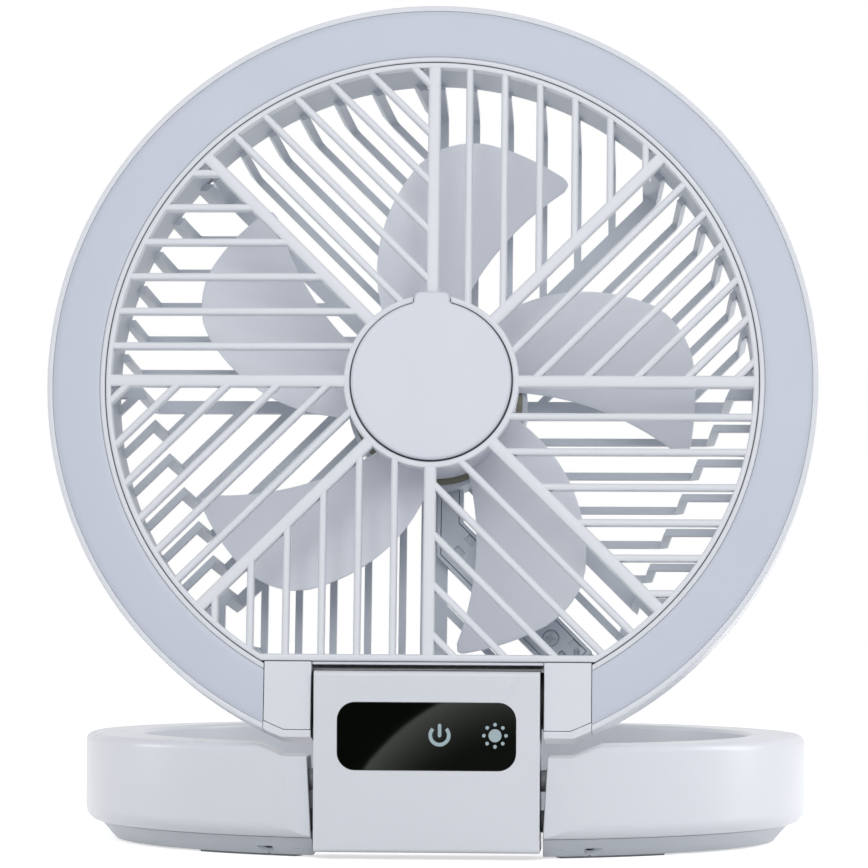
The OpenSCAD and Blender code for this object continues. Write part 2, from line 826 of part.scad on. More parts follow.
// Eight spokes. In each sector the ribs run parallel to the spoke on its left-hand side.
module pinwheel(r, spoke, rib) {
    for (k = [0:7]) {
        rotate(45 * k) translate([0, -spoke / 2]) square([r, spoke]);
        intersection() {
            sector(45 * k);
            rotate(45 * k + 45) for (i = [1:floor(r * sin(45) / rib_pitch)])
                translate([0, -i * rib_pitch - rib / 2]) square([r, rib]);
        }
    }
}

key_w = 12;
key_r = 29.1;

module front_grille() {
    hub_plate = 3;
    color("whitesmoke") on_head() {
        slab(0, grille_depth) above(bar_low) difference() {
            circle(grille_r);
            above(bar_high) circle(duct_r);
        }
        slab(0, grille_depth - 0.4) difference() {
            above(bar_low - 1) intersection() {
                circle(duct_r + 1);
                pinwheel(duct_r + 1, spoke_w, rib_w);
            }
            circle(hub_ring_r - 0.5);
            translate([-key_w / 2 - fit, 0]) square([key_w + 2 * fit, key_r + fit]);
        }
        slab(0, grille_depth) difference() {
            circle(hub_ring_r);
            circle(hub_cap_r + 0.4);
            translate([-key_w / 2 - fit, 0]) square([key_w + 2 * fit, far]);
        }
        slab(hub_plate, grille_depth + 0.4) difference() {
            circle(hub_ring_r);
            for (a = [30:120:270]) rotate(a) translate([15, 0]) circle(1.6);
        }
    }
}

module hub_cap() {
    crown = 2.2;
    edge = 1;
    key_corner = 2.2;
    color("gainsboro") on_head() {
        rotate_extrude() polygon(concat(
            [[0, crown], [hub_cap_r - edge, crown]],
            arc([hub_cap_r - edge, crown - edge], edge, 90, 0, 4),
            [[hub_cap_r, -2.8], [0, -2.8]]));
        slab(-crown + 0.1, 2.8) difference() {
            polygon(concat(
                [[key_w / 2, 0]],
                arc([key_w / 2 - key_corner, key_r - key_corner], key_corner, 0, 90, 4),
                arc([key_corner - key_w / 2, key_r - key_corner], key_corner, 90, 180, 4),
                [[-key_w / 2, 0]]));
            circle(hub_cap_r - 1);
        }
        for (a = [30:120:270]) rotate([0, 0, a]) translate([15, 0, 0]) disc(1.5, 2.7, 5.4);
    }
}

// ---------- rear grille ----------

// All that lies farther than reach from the head's axis in one direction, beyond a face
// that passes this reach at a depth and leans in towards the back
module beyond(angle, reach, depth, lean) {
    rotate([0, 0, angle]) translate([reach, 0, -depth]) rotate([0, lean, 0])
        translate([0, -far, -far]) cube([far, 2 * far, 2 * far]);
}

// The space inside the rear grille, drawn in from its outside by wall. Its round part leans
// towards the hinge at the back, so that it swings into the ring's hole.
module cage(wall, back, bevel) {
    run = back - ledge_front;
    round_r = cage_top_r - wall;
    difference() {
        intersection() {
            slab(ledge_front - 1, back) circle(round_r + snug);
            translate([0, 0, -ledge_front]) rotate([-cage_swing, 0, 0])
                translate([0, 0, -2 * run]) cylinder(h = 4 * run, r = round_r);
            translate([0, -run * tan(cage_swing), -back])
                cylinder(h = 2 * run, r1 = round_r - 0.3 - bevel, r2 = round_r - 0.3 - bevel + 2 * run);
        }
        for (side = [[-cage_side_angle, cage_side], [180 + cage_side_angle, cage_side], [-90, cage_floor]]) {
            beyond(side[0], side[1] - wall, ledge_front, cage_lean);
            beyond(side[0], side[1] - wall - run * tan(cage_lean), back - bevel, 45);
        }
    }
}

// The cable channel, between the second and third rib below the lower right spoke, with a
// neck that runs up to the motor cup
module channel_outline(inset) {
    neck_low = (channel_step - channel_w / 2 + channel_side) * sqrt(2) + neck_w + 1;
    translate([inset, -neck_low]) square([neck_w - 2 * inset, neck_low - cup_r + 2]);
    intersection() {
        sector(-90);
        translate([inset, -far]) square([far, far]);
        above(cage_floor - cage_wall) rotate(-45) translate([0, inset - channel_step - channel_w / 2])
            square([channel_end - inset, channel_w - 2 * inset]);
    }
}

// The opening through the head, flat along its foot, drawn in from the sleeve's outside by wall
module sleeve_outline(wall) {
    above(duct_floor_top - snug - wall) circle(grille_r - wall);
}

// Places a piece along the channel's middle line
module on_channel(along, aside = 0) {
    rotate([0, 0, -45]) translate([along, aside - channel_step, 0]) children();
}

module rear_grille() {
    color("lightgray") on_head() difference() {
        union() {
            difference() {
                union() {
                    intersection() {
                        slab(ledge_front, cage_depth) {
                            pinwheel(grille_r + 1, rear_spoke_w, rear_rib_w);
                            translate([foot_strip[0], -far]) square([foot_strip[1] - foot_strip[0], far]);
                        }
                        cage(0, cage_depth, cage_bevel);
                    }
                    slab(ledge_front, ledge_back) intersection() {
                        sleeve_outline(grille_ring_w / 2);
                        pinwheel(grille_r, rear_spoke_w, rear_rib_w);
                    }
                }
                cage(cage_wall, cup_floor, 0);
            }
            slab(grille_depth + snug, head_depth) difference() {
                sleeve_outline(0);
                sleeve_outline(grille_ring_w);
            }
            slab(flange_front, flange_back) difference() {
                above(duct_floor_top - snug) circle(flange_r);
                sleeve_outline(grille_ring_w);
            }
            slab(cup_floor, cage_depth) channel_outline(0);
            disc(cup_r, cup_floor, cage_depth);
            tube(cup_r, cup_r - cup_wall, cup_front, cage_depth);
            for (a = [60:120:300]) rotate([0, 0, a]) translate([22, 0, 0])
                disc(2.4, motor_board_front + board_t, cup_floor + eps);
            slab(lid_front, cage_depth) difference() {
                channel_outline(0);
                channel_outline(channel_side);
            }
        }
        at_grille_screws() disc(grille_pin_r + fit, flange_front - 1, flange_back + 1);
        cable_hole();
        difference() {
            slab(cup_floor - 6, channel_back) channel_outline(channel_side);
            on_channel(lid_screw_along, lid_screw_aside) disc(2.4, lid_front + lid_t, cage_depth);
        }
        on_channel(lid_screw_along, lid_screw_aside) disc(1.15, lid_front, channel_back);
    }
}

module cable_cover() {
    window = [3.4, 2.6];
    color("lightgray") on_head() difference() {
        slab(lid_front, lid_front + lid_t)
            above(cable_floor - wire_r - 0.8) channel_outline(channel_side + fit);
        for (along = [40, channel_end - 5.6], aside = [-1, 4.5])
            on_channel(along, aside) slab(lid_front - 1, lid_front + 1) square(window, center = true);
        on_channel(lid_screw_along, lid_screw_aside) disc(lid_screw_r + 0.1, lid_front - 1, lid_front + 0.86);
        on_channel(lid_screw_along, lid_screw_aside) disc(1.3, lid_front - 1, lid_front + lid_t + 1);
    }
}

module cable_cover_screw() {
    color("silver") on_head() on_channel(lid_screw_along, lid_screw_aside) {
        disc(lid_screw_r, lid_front + 0.05, lid_front + 0.85);
        disc(1.1, lid_front + 0.8, lid_front + lid_t + 1.6);
    }
}

// ---------- motor ----------

module bearing_tube() {
    color("goldenrod") on_head() {
        tube(tube_r, bearing_r, 13.5, cup_floor);
        tube(12, bearing_r, cup_floor - 1.4, cup_floor);
    }
}

module bearings() {
    color("darkgoldenrod") on_head() {
        tube(bearing_r, shaft_r + spin_fit, 14, 22);
        tube(bearing_r, shaft_r + spin_fit, 40, 48);
    }
}

module stator_core() {
    pole_w = 2.6;
    pitch = 360 / pole_count;
    color("slategray") on_head() slab(stator_front, stator_back) {
        difference() {
            circle(8.2);
            circle(tube_r);
        }
        for (i = [0:pole_count - 1]) rotate(i * pitch) {
            translate([8, -pole_w / 2]) square([10, pole_w]);
            polygon(concat(
                arc([0, 0], stator_r, -pitch * 0.4, pitch * 0.4, 8),
                arc([0, 0], stator_r - 2, pitch * 0.4, -pitch * 0.4, 8)));
        }
    }
}

module stator_windings() {
    pole_w = 2.6;
    coil_w = 5.2;
    color("peru") on_head() for (i = [0:pole_count - 1]) rotate([0, 0, i * 360 / pole_count])
        difference() {
            slab(stator_front - 1.4, stator_back + 1.4) translate([8.6, -coil_w / 2]) square([6.4, coil_w]);
            slab(stator_front, stator_back) translate([8, -pole_w / 2]) square([10, pole_w]);
        }
}

module motor_board() {
    color([0.33, 0.31, 0.2]) on_head()
        tube(cup_r - cup_wall - snug, tube_r + snug, motor_board_front, motor_board_front + board_t);
}

module head_cable() {
    floor_depth = lid_front + lid_t + 0.25 + wire_r;
    over_depth = lid_front - wire_r - 0.6;
    far_x = cable_floor - wire_lane * sqrt(2);
    near_end = 40 * polar(1, -45) + wire_lane * polar(1, -135);
    color([0.85, 0.85, 0.86]) on_head() cable([
        [housing_x + 0.4, -hinge_drop, -hinge_depth],
        [cable_x, -hinge_drop, -hinge_depth],
        [cable_x, -hinge_drop, -cable_depth],
        [cable_x, -cable_floor, -cable_depth],
        [cable_x, -cable_floor, -over_depth],
        [far_x, -cable_floor, -over_depth],
        [far_x, -cable_floor, -floor_depth],
        [near_end[0], near_end[1], -floor_depth],
        [entry_x, -cup_r - 2, -floor_depth],
        [entry_x, 6 - cup_r, -floor_depth],
        [entry_x, 6 - cup_r, -motor_board_front - board_t - 1.1]], wire_r);
}

module shell_screws() {
    color("silver") on_head() at_shell_screws() {
        disc(2.7, head_depth - 1, head_depth - 0.1);
        disc(1.1, frame_depth + 3, head_depth - 0.9);
    }
}

module grille_screws() {
    color("silver") on_head() at_grille_screws() {
        disc(1.6, flange_front - 1, flange_front - thread_fit);
        disc(grille_pin_r, flange_front - 0.1, head_depth - 0.5);
    }
}

// ---------- impeller ----------

root_r = hub_r - 1;
blade_mid = 28.5;
root_drop = 16;
tip_drop = 14;
radial_steps = 14;
chord_steps = 16;

// Angles of the leading and trailing edges at radius r
function lead(r) = 76.4 - 17 * (r - 30) / (tip_r - 34);
function trail(r) = let (p = (r - 32) / (tip_r - 32)) 123.3 - 35 * p + 1.2 * sin(180 * p);

// Reach of the blade along its chord, from the nose at 0 to the rounded rear corner at 1
function reach(t) =
    let (nose = t < 0.1 ? 1 - t / 0.1 : 0, heel = t > 0.66 ? (t - 0.66) / 0.34 : 0)
    tip_r - 3.6 * (1 - sqrt(1 - nose * nose)) - 8.5 * (1 - sqrt(1 - heel * heel));

// A point of one blade: s runs from root to tip, t along the chord, side is 1 or -1
function blade_point(s, t, side) =
    let (
        r = root_r + (reach(t) - root_r) * s,
        a = lead(r) + (trail(r) - lead(r)) * t,
        half = 0.45 + 0.6 * sin(180 * t) * (1 - 0.4 * s),
        depth = blade_mid + (0.5 - t) * (root_drop + (tip_drop - root_drop) * s) - 2.4 * sin(180 * t))
    [r * cos(a), r * sin(a), -depth + side * half];

module blade() {
    n = chord_steps + 1;
    m = radial_steps + 1;
    back = n * m;
    points = [for (side = [1, -1]) for (i = [0:radial_steps]) for (j = [0:chord_steps])
        blade_point(i / radial_steps, j / chord_steps, side)];
    faces = concat(
        [for (i = [0:radial_steps - 1]) for (j = [0:chord_steps - 1]) each
            [[i * n + j, i * n + j + 1, i * n + n + j + 1], [i * n + j, i * n + n + j + 1, i * n + n + j]]],
        [for (i = [0:radial_steps - 1]) for (j = [0:chord_steps - 1]) let (b = back + i * n + j) each
            [[b, b + n + 1, b + 1], [b, b + n, b + n + 1]]],
        [for (j = [0:chord_steps - 1]) let (a = j, b = radial_steps * n + j) each
            [[a, back + a, back + a + 1], [a, back + a + 1, a + 1],
            [b, b + 1, back + b + 1], [b, back + b + 1, back + b]]],
        [for (i = [0:radial_steps - 1]) let (a = i * n, b = i * n + chord_steps) each
            [[a, a + n, back + a + n], [a, back + a + n, back + a],
            [b, back + b + n, b + n], [b, back + b, back + b + n]]]);
    polyhedron(points, faces);
}

module impeller() {
    color("lightsteelblue") on_head() {
        tube(hub_r, hub_r - hub_wall, hub_front, hub_back);
        tube(hub_r - 0.5, shaft_r, hub_front, hub_front + 2);
        tube(hub_r - hub_wall + eps, can_r, hub_front + 1, 15);
        for (k = [0:blade_count - 1]) rotate([0, 0, k * 360 / blade_count]) blade();
    }
}

module rotor_can() {
    color([0.42, 0.4, 0.3]) on_head() {
        tube(can_r, magnet_r, hub_front + 2, 36);
        tube(can_r, shaft_r, hub_front + 2, hub_front + 3.2);
        tube(5, shaft_r, hub_front + 3, hub_front + 5);
    }
}

module rotor_magnet() {
    color("dimgray") on_head() tube(magnet_r, stator_r + 0.6, 15, 34);
}

module motor_shaft() {
    color("silver") on_head() disc(shaft_r, hub_front - 2, cup_floor - 1.6);
}

module impeller_nut() {
    color("silver") on_head() slab(hub_front - 1.8, hub_front) difference() {
        circle(4.2, $fn = 6);
        circle(shaft_r);
    }
}

base_top_shell();
base_bottom_cover();
rubber_feet();
base_screws();
control_housing();
housing_rear_cover();
housing_screws();
rear_cover_screws();
touch_panel();
power_symbol();
light_symbol();
touch_board();
control_board();
control_chips();
charge_socket();
battery_cells();
battery_cradle();
battery_strips();
hinge_pins();
friction_washers();
spring_washers();
retaining_rings();
hinge_cable();
head_front_frame();
light_diffuser();
light_board();
light_chips();
head_rear_shell();
ear_covers();
front_grille();
hub_cap();
rear_grille();
cable_cover();
cable_cover_screw();
bearing_tube();
bearings();
stator_core();
stator_windings();
motor_board();
head_cable();
shell_screws();
grille_screws();
impeller();
rotor_can();
rotor_magnet();
motor_shaft();
impeller_nut();
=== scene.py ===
"""Looks for the folding camping fan: a round head with a light band on a ring base.

Sizes in this script are millimetres. Head pieces are drawn on the head's own axes, where
x is right, y is up and z = 0 is the front face with z < 0 behind it; HEAD puts them in
place. Base pieces keep the frame's own axes, and BASE only turns millimetres to metres.
Geometry trees and materials work in metres and angles in radians, unless a name says
otherwise.
"""

import json
from math import asin, cos, degrees, pi, radians, sin, sqrt

import bmesh
import bpy
from mathutils import Matrix, Vector


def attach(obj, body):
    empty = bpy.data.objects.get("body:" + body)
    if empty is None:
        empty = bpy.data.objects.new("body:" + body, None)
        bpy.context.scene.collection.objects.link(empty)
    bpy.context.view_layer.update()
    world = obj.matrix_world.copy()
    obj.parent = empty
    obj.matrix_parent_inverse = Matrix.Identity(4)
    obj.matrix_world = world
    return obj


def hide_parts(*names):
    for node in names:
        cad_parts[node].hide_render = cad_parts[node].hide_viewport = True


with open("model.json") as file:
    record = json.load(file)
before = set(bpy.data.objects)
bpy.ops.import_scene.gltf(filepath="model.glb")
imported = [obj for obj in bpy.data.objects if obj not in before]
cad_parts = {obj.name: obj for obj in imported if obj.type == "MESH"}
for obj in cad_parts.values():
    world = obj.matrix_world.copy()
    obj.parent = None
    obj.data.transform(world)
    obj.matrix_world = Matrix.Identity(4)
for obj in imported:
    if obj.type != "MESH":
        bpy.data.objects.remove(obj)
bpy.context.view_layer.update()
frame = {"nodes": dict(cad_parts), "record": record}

MM = 0.001
HEAD_TILT = 7.7
HINGE = Vector((0, -104.925, 50.5))
HINGE_DEPTH = 13
HINGE_DROP = 102.5
BASE = Matrix.Scale(MM, 4)
HEAD = (
    Matrix.Scale(MM, 4)
    @ Matrix.Translation(HINGE)
    @ Matrix.Rotation(radians(-HEAD_TILT), 4, "X")
    @ Matrix.Translation((0, -HINGE_DEPTH, HINGE_DROP))
    @ Matrix.Rotation(radians(90), 4, "X")
)
HEAD_BACKWARD = (HEAD.to_3x3() @ Vector((0, 0, -1))).normalized()
WELD = 1e-6
GAP_SAMPLES = 6
PAINTED_GAP_DARKEST = 0.1
GRAIN_HEIGHT = 0.00025

# ---------- colours ----------


def paint(red, green, blue):
    """An 8-bit display colour as the linear colour that a shader takes."""
    def linear(value):
        share = value / 255
        return share / 12.92 if share <= 0.04045 else ((share + 0.055) / 1.055) ** 2.4
    return (linear(red), linear(green), linear(blue), 1)


# ---------- node helpers ----------


def put(tree, kind, inputs=None, **settings):
    """Adds a node, sets its options, then its inputs, from sockets or plain values."""
    made = tree.nodes.new(kind)
    for key, value in settings.items():
        setattr(made, key, value)
    for key, value in (inputs or {}).items():
        if isinstance(value, bpy.types.NodeSocket):
            tree.links.new(value, made.inputs[key])
        else:
            made.inputs[key].default_value = value
    return made


class Term:
    """A number in a node tree that can be written in a formula."""

    def __init__(self, tree, value):
        self.tree = tree
        self.value = value.value if isinstance(value, Term) else value

    def apply(self, operation, *others):
        made = self.tree.nodes.new("ShaderNodeMath")
        made.operation = operation
        for place, other in enumerate((self, *others)):
            value = other.value if isinstance(other, Term) else other
            if isinstance(value, bpy.types.NodeSocket):
                self.tree.links.new(value, made.inputs[place])
            else:
                made.inputs[place].default_value = value
        return Term(self.tree, made.outputs[0])

    def __add__(self, other):
        return self.apply("ADD", other)

    def __radd__(self, other):
        return self.apply("ADD", other)

    def __sub__(self, other):
        return self.apply("SUBTRACT", other)

    def __rsub__(self, other):
        return Term(self.tree, other).apply("SUBTRACT", self)

    def __mul__(self, other):
        return self.apply("MULTIPLY", other)

    def __rmul__(self, other):
        return self.apply("MULTIPLY", other)

    def __truediv__(self, other):
        return self.apply("DIVIDE", other)

    def __rtruediv__(self, other):
        return Term(self.tree, other).apply("DIVIDE", self)

    def __neg__(self):
        return self.apply("MULTIPLY", -1)

    def root(self):
        return self.apply("MAXIMUM", 0).apply("SQRT")

    def sine(self):
        return self.apply("SINE")

    def cosine(self):
        return self.apply("COSINE")

    def at_least(self, other):
        return self.apply("MAXIMUM", other)

    def at_most(self, other):
        return self.apply("MINIMUM", other)


def vector_of(tree, x=0, y=0, z=0):
    inputs = {key: value.value if isinstance(value, Term) else value
              for key, value in (("X", x), ("Y", y), ("Z", z))}
    return put(tree, "ShaderNodeCombineXYZ", inputs).outputs[0]


def open_group(name, kind, wants, gives):
    """A new node group with named inputs and outputs, and its two end nodes."""
    tree = bpy.data.node_groups.new(name, kind)
    for key, (socket, value) in wants.items():
        made = tree.interface.new_socket(key, in_out="INPUT", socket_type=socket)
        if value is not None:
            made.default_value = value
    for key, socket in gives.items():
        tree.interface.new_socket(key, in_out="OUTPUT", socket_type=socket)
    start = tree.nodes.new("NodeGroupInput")
    end = tree.nodes.new("NodeGroupOutput")
    return tree, start.outputs, end.inputs


# ---------- effects that several finishes share ----------


def make_moulded_grain():
    """Fine texture of a moulded surface, as a height and as a share for roughness."""
    tree, given, out = open_group(
        "moulded_grain", "ShaderNodeTree",
        {"Vector": ("NodeSocketVector", None), "Grains per metre": ("NodeSocketFloat", 1400.0)},
        {"Height": "NodeSocketFloat", "Share": "NodeSocketFloat"})
    fine = put(tree, "ShaderNodeTexNoise", {
        "Vector": given["Vector"], "Scale": given["Grains per metre"],
        "Detail": 2.0, "Roughness": 0.6})
    wide = put(tree, "ShaderNodeTexNoise", {
        "Vector": given["Vector"], "Scale": 60.0, "Detail": 3.0})
    height = Term(tree, fine.outputs["Fac"]) * 0.8 + Term(tree, wide.outputs["Fac"]) * 0.2
    tree.links.new(height.value, out["Height"])
    tree.links.new(wide.outputs["Fac"], out["Share"])
    return tree


def make_tone_drift():
    """Slow change of tone over a moulding, with a little fine speckle, multiplied by the painted
    shade of tight gaps.
    """
    tree, given, out = open_group(
        "tone_drift", "ShaderNodeTree",
        {"Vector": ("NodeSocketVector", None),
         "Colour": ("NodeSocketColor", (0.7, 0.7, 0.7, 1)),
         "Drift": ("NodeSocketFloat", 0.03), "Speckle": ("NodeSocketFloat", 0.01),
         "Painted gap shade": ("NodeSocketFloat", 1.0)},
        {"Colour": "NodeSocketColor"})
    slow = put(tree, "ShaderNodeTexNoise", {
        "Vector": given["Vector"], "Scale": 11.0, "Detail": 2.0})
    speck = put(tree, "ShaderNodeTexNoise", {
        "Vector": given["Vector"], "Scale": 900.0, "Detail": 1.0})
    level = (1 + (Term(tree, slow.outputs["Fac"]) - 0.5) * Term(tree, given["Drift"]) * 2
             + (Term(tree, speck.outputs["Fac"]) - 0.5) * Term(tree, given["Speckle"]) * 2)
    made = put(tree, "ShaderNodeVectorMath", {0: given["Colour"]}, operation="SCALE")
    tree.links.new((level * Term(tree, given["Painted gap shade"])).value, made.inputs["Scale"])
    tree.links.new(made.outputs[0], out["Colour"])
    return tree


def make_spread_share():
    """Spreads a share over the range from Low to High."""
    tree, given, out = open_group(
        "spread_share", "ShaderNodeTree",
        {"Share": ("NodeSocketFloat", 0.5), "Low": ("NodeSocketFloat", 0.3),
         "High": ("NodeSocketFloat", 0.5)},
        {"Value": "NodeSocketFloat"})
    low = Term(tree, given["Low"])
    value = low + (Term(tree, given["High"]) - low) * Term(tree, given["Share"])
    tree.links.new(value.value, out["Value"])
    return tree


def make_painted_gap_shade():
    """Painted shade for the base colour: 1 on open faces, falling to Darkest in a tight gap, where
    little light gets in.
    """
    tree, given, out = open_group(
        "gap_shade", "ShaderNodeTree",
        {"Openness": ("NodeSocketFloat", 1.0), "Darkest": ("NodeSocketFloat", 0.15)},
        {"Share": "NodeSocketFloat"})
    closed, fade = 0.15, 0.4
    rise = ((Term(tree, given["Openness"]) - closed) / fade).at_least(0).at_most(1)
    dark = Term(tree, given["Darkest"])
    tree.links.new((dark + (1 - dark) * rise).value, out["Share"])
    return tree


MOULDED_GRAIN = make_moulded_grain()
TONE_DRIFT = make_tone_drift()
PAINTED_GAP_SHADE = make_painted_gap_shade()
SPREAD_SHARE = make_spread_share()


def surface_finish(name, colour, roughness, grain=2400, bump=0.05, drift=0.02, speckle=0.008,
                   metallic=0.0, coat=0.0, coat_roughness=0.1, spread=0.06, specular=0.5,
                   gap_reach=0.0):
    """A moulded, painted or metal finish with grain, tone drift and varied roughness.
    With a gap reach in metres, painted shade darkens its colour in gaps narrower than about that."""
    made = bpy.data.materials.new(name)
    made.use_nodes = True
    tree = made.node_tree
    shader = tree.nodes["Principled BSDF"]
    where = tree.nodes.new("ShaderNodeTexCoord").outputs["Object"]
    texture = put(tree, "ShaderNodeGroup", {
        "Vector": where, "Grains per metre": grain}, node_tree=MOULDED_GRAIN)
    tone = put(tree, "ShaderNodeGroup", {
        "Vector": where, "Colour": colour, "Drift": drift, "Speckle": speckle},
        node_tree=TONE_DRIFT)
    tree.links.new(tone.outputs["Colour"], shader.inputs["Base Color"])
    # Painted shade: ambient occlusion darkens the base colour in tight gaps.
    if gap_reach:
        openness = put(tree, "ShaderNodeAmbientOcclusion", {"Distance": gap_reach},
                       samples=GAP_SAMPLES)
        shade = put(tree, "ShaderNodeGroup", {
            "Openness": openness.outputs["AO"], "Darkest": PAINTED_GAP_DARKEST}, node_tree=PAINTED_GAP_SHADE)
        tree.links.new(shade.outputs["Share"], tone.inputs["Painted gap shade"])
    varied = put(tree, "ShaderNodeGroup", {
        "Share": texture.outputs["Share"], "Low": roughness - spread, "High": roughness + spread},
        node_tree=SPREAD_SHARE)
    tree.links.new(varied.outputs["Value"], shader.inputs["Roughness"])
    relief = put(tree, "ShaderNodeBump", {
        "Height": texture.outputs["Height"], "Strength": bump, "Distance": GRAIN_HEIGHT})
    tree.links.new(relief.outputs[0], shader.inputs["Normal"])
    shader.inputs["Specular IOR Level"].default_value = specular
    shader.inputs["Metallic"].default_value = metallic
    shader.inputs["Coat Weight"].default_value = coat
    shader.inputs["Coat Roughness"].default_value = coat_roughness
    return made


# A gap reach paints shade into a finish's colour in tight gaps.
FINISHES = {
    "white_plastic": surface_finish("satin_white_moulding", paint(218, 221, 228), 0.29,
                                    bump=0.015, spread=0.04, specular=0.3, gap_reach=0.004),
    "grille_plastic": surface_finish("bright_white_moulding", paint(219, 222, 229), 0.36,
                                     bump=0.015, specular=0.42, gap_reach=0.0015),
    "grey_plastic": surface_finish("pale_grey_moulding", paint(196, 201, 209), 0.42),
    "rear_plastic": surface_finish("shaded_grey_moulding", paint(190, 196, 205), 0.42),
    "foot_rubber": surface_finish("foot_rubber", paint(120, 124, 128), 0.72, grain=700,
                                  bump=0.5),
    "screw_steel": surface_finish("zinc_plate", paint(196, 198, 202), 0.34, metallic=1.0,
                                  drift=0.05),
    "plain_steel": surface_finish("drawn_steel", paint(188, 190, 194), 0.30, metallic=1.0,
                                  drift=0.05),
    "motor_steel": surface_finish("plated_can", paint(176, 170, 150), 0.32, metallic=1.0,
                                  drift=0.05),
    "panel_gloss": surface_finish("smoked_panel", paint(5, 9, 5), 0.03, bump=0.0, drift=0.1,
                                  spread=0.01),
    "symbol_grey": surface_finish("printed_symbol", paint(158, 177, 183), 0.45, drift=0.02),
    "board_green": surface_finish("green_board", paint(28, 82, 50), 0.35, drift=0.10,
                                  coat=0.4),
    "chip_black": surface_finish("chip_black", paint(34, 35, 38), 0.48, drift=0.05),
    "cell_sleeve": surface_finish("cell_sleeve", paint(64, 104, 156), 0.30, coat=0.3),
    "dark_plastic": surface_finish("dark_moulding", paint(58, 60, 64), 0.52),
    "washer_plastic": surface_finish("dark_washer", paint(38, 38, 40), 0.55),
    "wire_sleeve": surface_finish("wire_sleeve", paint(205, 205, 208), 0.46),
    "diffuser": surface_finish("frosted_diffuser", paint(191, 197, 211), 0.42, grain=900,
                               bump=0.03, drift=0.015, coat=0.12, coat_roughness=0.25),
    "board_white": surface_finish("white_board", paint(232, 232, 228), 0.4),
    "chip_yellow": surface_finish("phosphor", paint(236, 214, 120), 0.4),
    "tube_brass": surface_finish("bearing_brass", paint(196, 160, 92), 0.32, metallic=1.0,
                                 drift=0.05),
    "winding_copper": surface_finish("winding_copper", paint(186, 104, 60), 0.34, metallic=1.0,
                                     drift=0.1, grain=1800, bump=0.5),
    "magnet": surface_finish("magnet_grey", paint(72, 72, 76), 0.55),
    "blade_plastic": surface_finish("blade_moulding", paint(222, 225, 233), 0.42),
}

SLOT_OF = {part["node"]: part["material_slot"] for part in frame["record"]["subparts"]}
# Nodes that look unlike the rest of their slot
OWN_FINISH = {
    "motor_board": surface_finish("fibre_board", paint(126, 124, 108), 0.4, drift=0.08,
                                  coat=0.2),
    "head_cable": surface_finish("grey_sleeve", paint(150, 156, 165), 0.5),
    "cable_cover_screw": surface_finish("painted_screw", paint(184, 190, 198), 0.45),
    "hub_cap": surface_finish("cap_moulding", paint(211, 214, 224), 0.34, bump=0.015,
                              specular=0.42, gap_reach=0.0015),
}
for node_name, cad_object in frame["nodes"].items():
    cad_object.data.materials.clear()
    cad_object.data.materials.append(OWN_FINISH.get(node_name, FINISHES[SLOT_OF[node_name]]))

# ---------- mesh helpers ----------


def piece_from(name, mesh):
    made = bpy.data.objects.new(name, mesh)
    bpy.context.scene.collection.objects.link(made)
    return made


def mesh_of(name, points, faces):
    mesh = bpy.data.meshes.new(name)
    mesh.from_pydata([Vector(p) for p in points], [], faces)
    work = bmesh.new()
    work.from_mesh(mesh)
    bmesh.ops.remove_doubles(work, verts=work.verts, dist=1e-5)
    bmesh.ops.recalc_face_normals(work, faces=work.faces)
    work.to_mesh(mesh)
    work.free()
    return mesh


def apply_modifiers(made):
    """Turns what the modifiers give into the object's own plain mesh."""
    ready = made.evaluated_get(bpy.context.evaluated_depsgraph_get())
    mesh = bpy.data.meshes.new_from_object(ready)
    old = made.data
    made.modifiers.clear()
    made.data = mesh
    bpy.data.meshes.remove(old)
    return made


def soften(mesh, width, angle=35, segments=3, keep=None):
    """Rounds the mesh's sharp edges by a width. keep says which edges stay sharp."""
    work = bmesh.new()
    work.from_mesh(mesh)
    limit = radians(angle)
    edges = [e for e in work.edges if len(e.link_faces) == 2 and e.calc_face_angle(0) > limit
             and not (keep and keep(e))]
    bmesh.ops.bevel(work, geom=edges, offset=width, segments=segments, profile=0.5,
                    affect="EDGES", clamp_overlap=False)
    work.to_mesh(mesh)
    work.free()
    return mesh


def smooth(mesh, angle=32):
    mesh.shade_smooth()
    mesh.set_sharp_from_angle(angle=radians(angle))
    return mesh


def show(made, body, nodes, slot, place=None):
    """Puts a piece in place, gives it its finish and lets it stand for its CAD nodes."""
    if place is not None:
        made.data.transform(place)
    made.data.materials.clear()
    made.data.materials.append(OWN_FINISH.get(nodes[0], FINISHES[slot]))
    for face in made.data.polygons:
        face.material_index = 0
    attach(made, body)
    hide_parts(*nodes)
    return made


def merged_copy(node):
    """A welded copy of a CAD node's mesh with its flat faces joined."""
    flat_angle = 0.4
    work = bmesh.new()
    work.from_mesh(frame["nodes"][node].data)
    bmesh.ops.remove_doubles(work, verts=work.verts, dist=WELD)
    bmesh.ops.dissolve_limit(work, angle_limit=radians(flat_angle), verts=work.verts,
                             edges=work.edges)
    mesh = bpy.data.meshes.new(node + "_copy")
    work.to_mesh(mesh)
    work.free()
    return mesh


def skin_area(mesh):
    mesh.calc_loop_triangles()
    return sum(face.area for face in mesh.loop_triangles)


def rounded_copy(node, width, angle, segments, keep):
    """A CAD node's mesh with rounded edges. Rounding takes a little area for each
    millimetre of width; where it takes less, faces have folded over, and the width shrinks."""
    slight_width, least_share, shrink = 0.04, 0.85, 0.8
    whole = skin_area(merged_copy(node))

    def trial(size):
        mesh = soften(merged_copy(node), size * MM, angle, segments, keep)
        return mesh, (whole - skin_area(mesh)) / size

    usual = trial(slight_width)[1]
    mesh, rate = trial(width)
    while rate < least_share * usual:
        width *= shrink
        mesh, rate = trial(width)
    return mesh


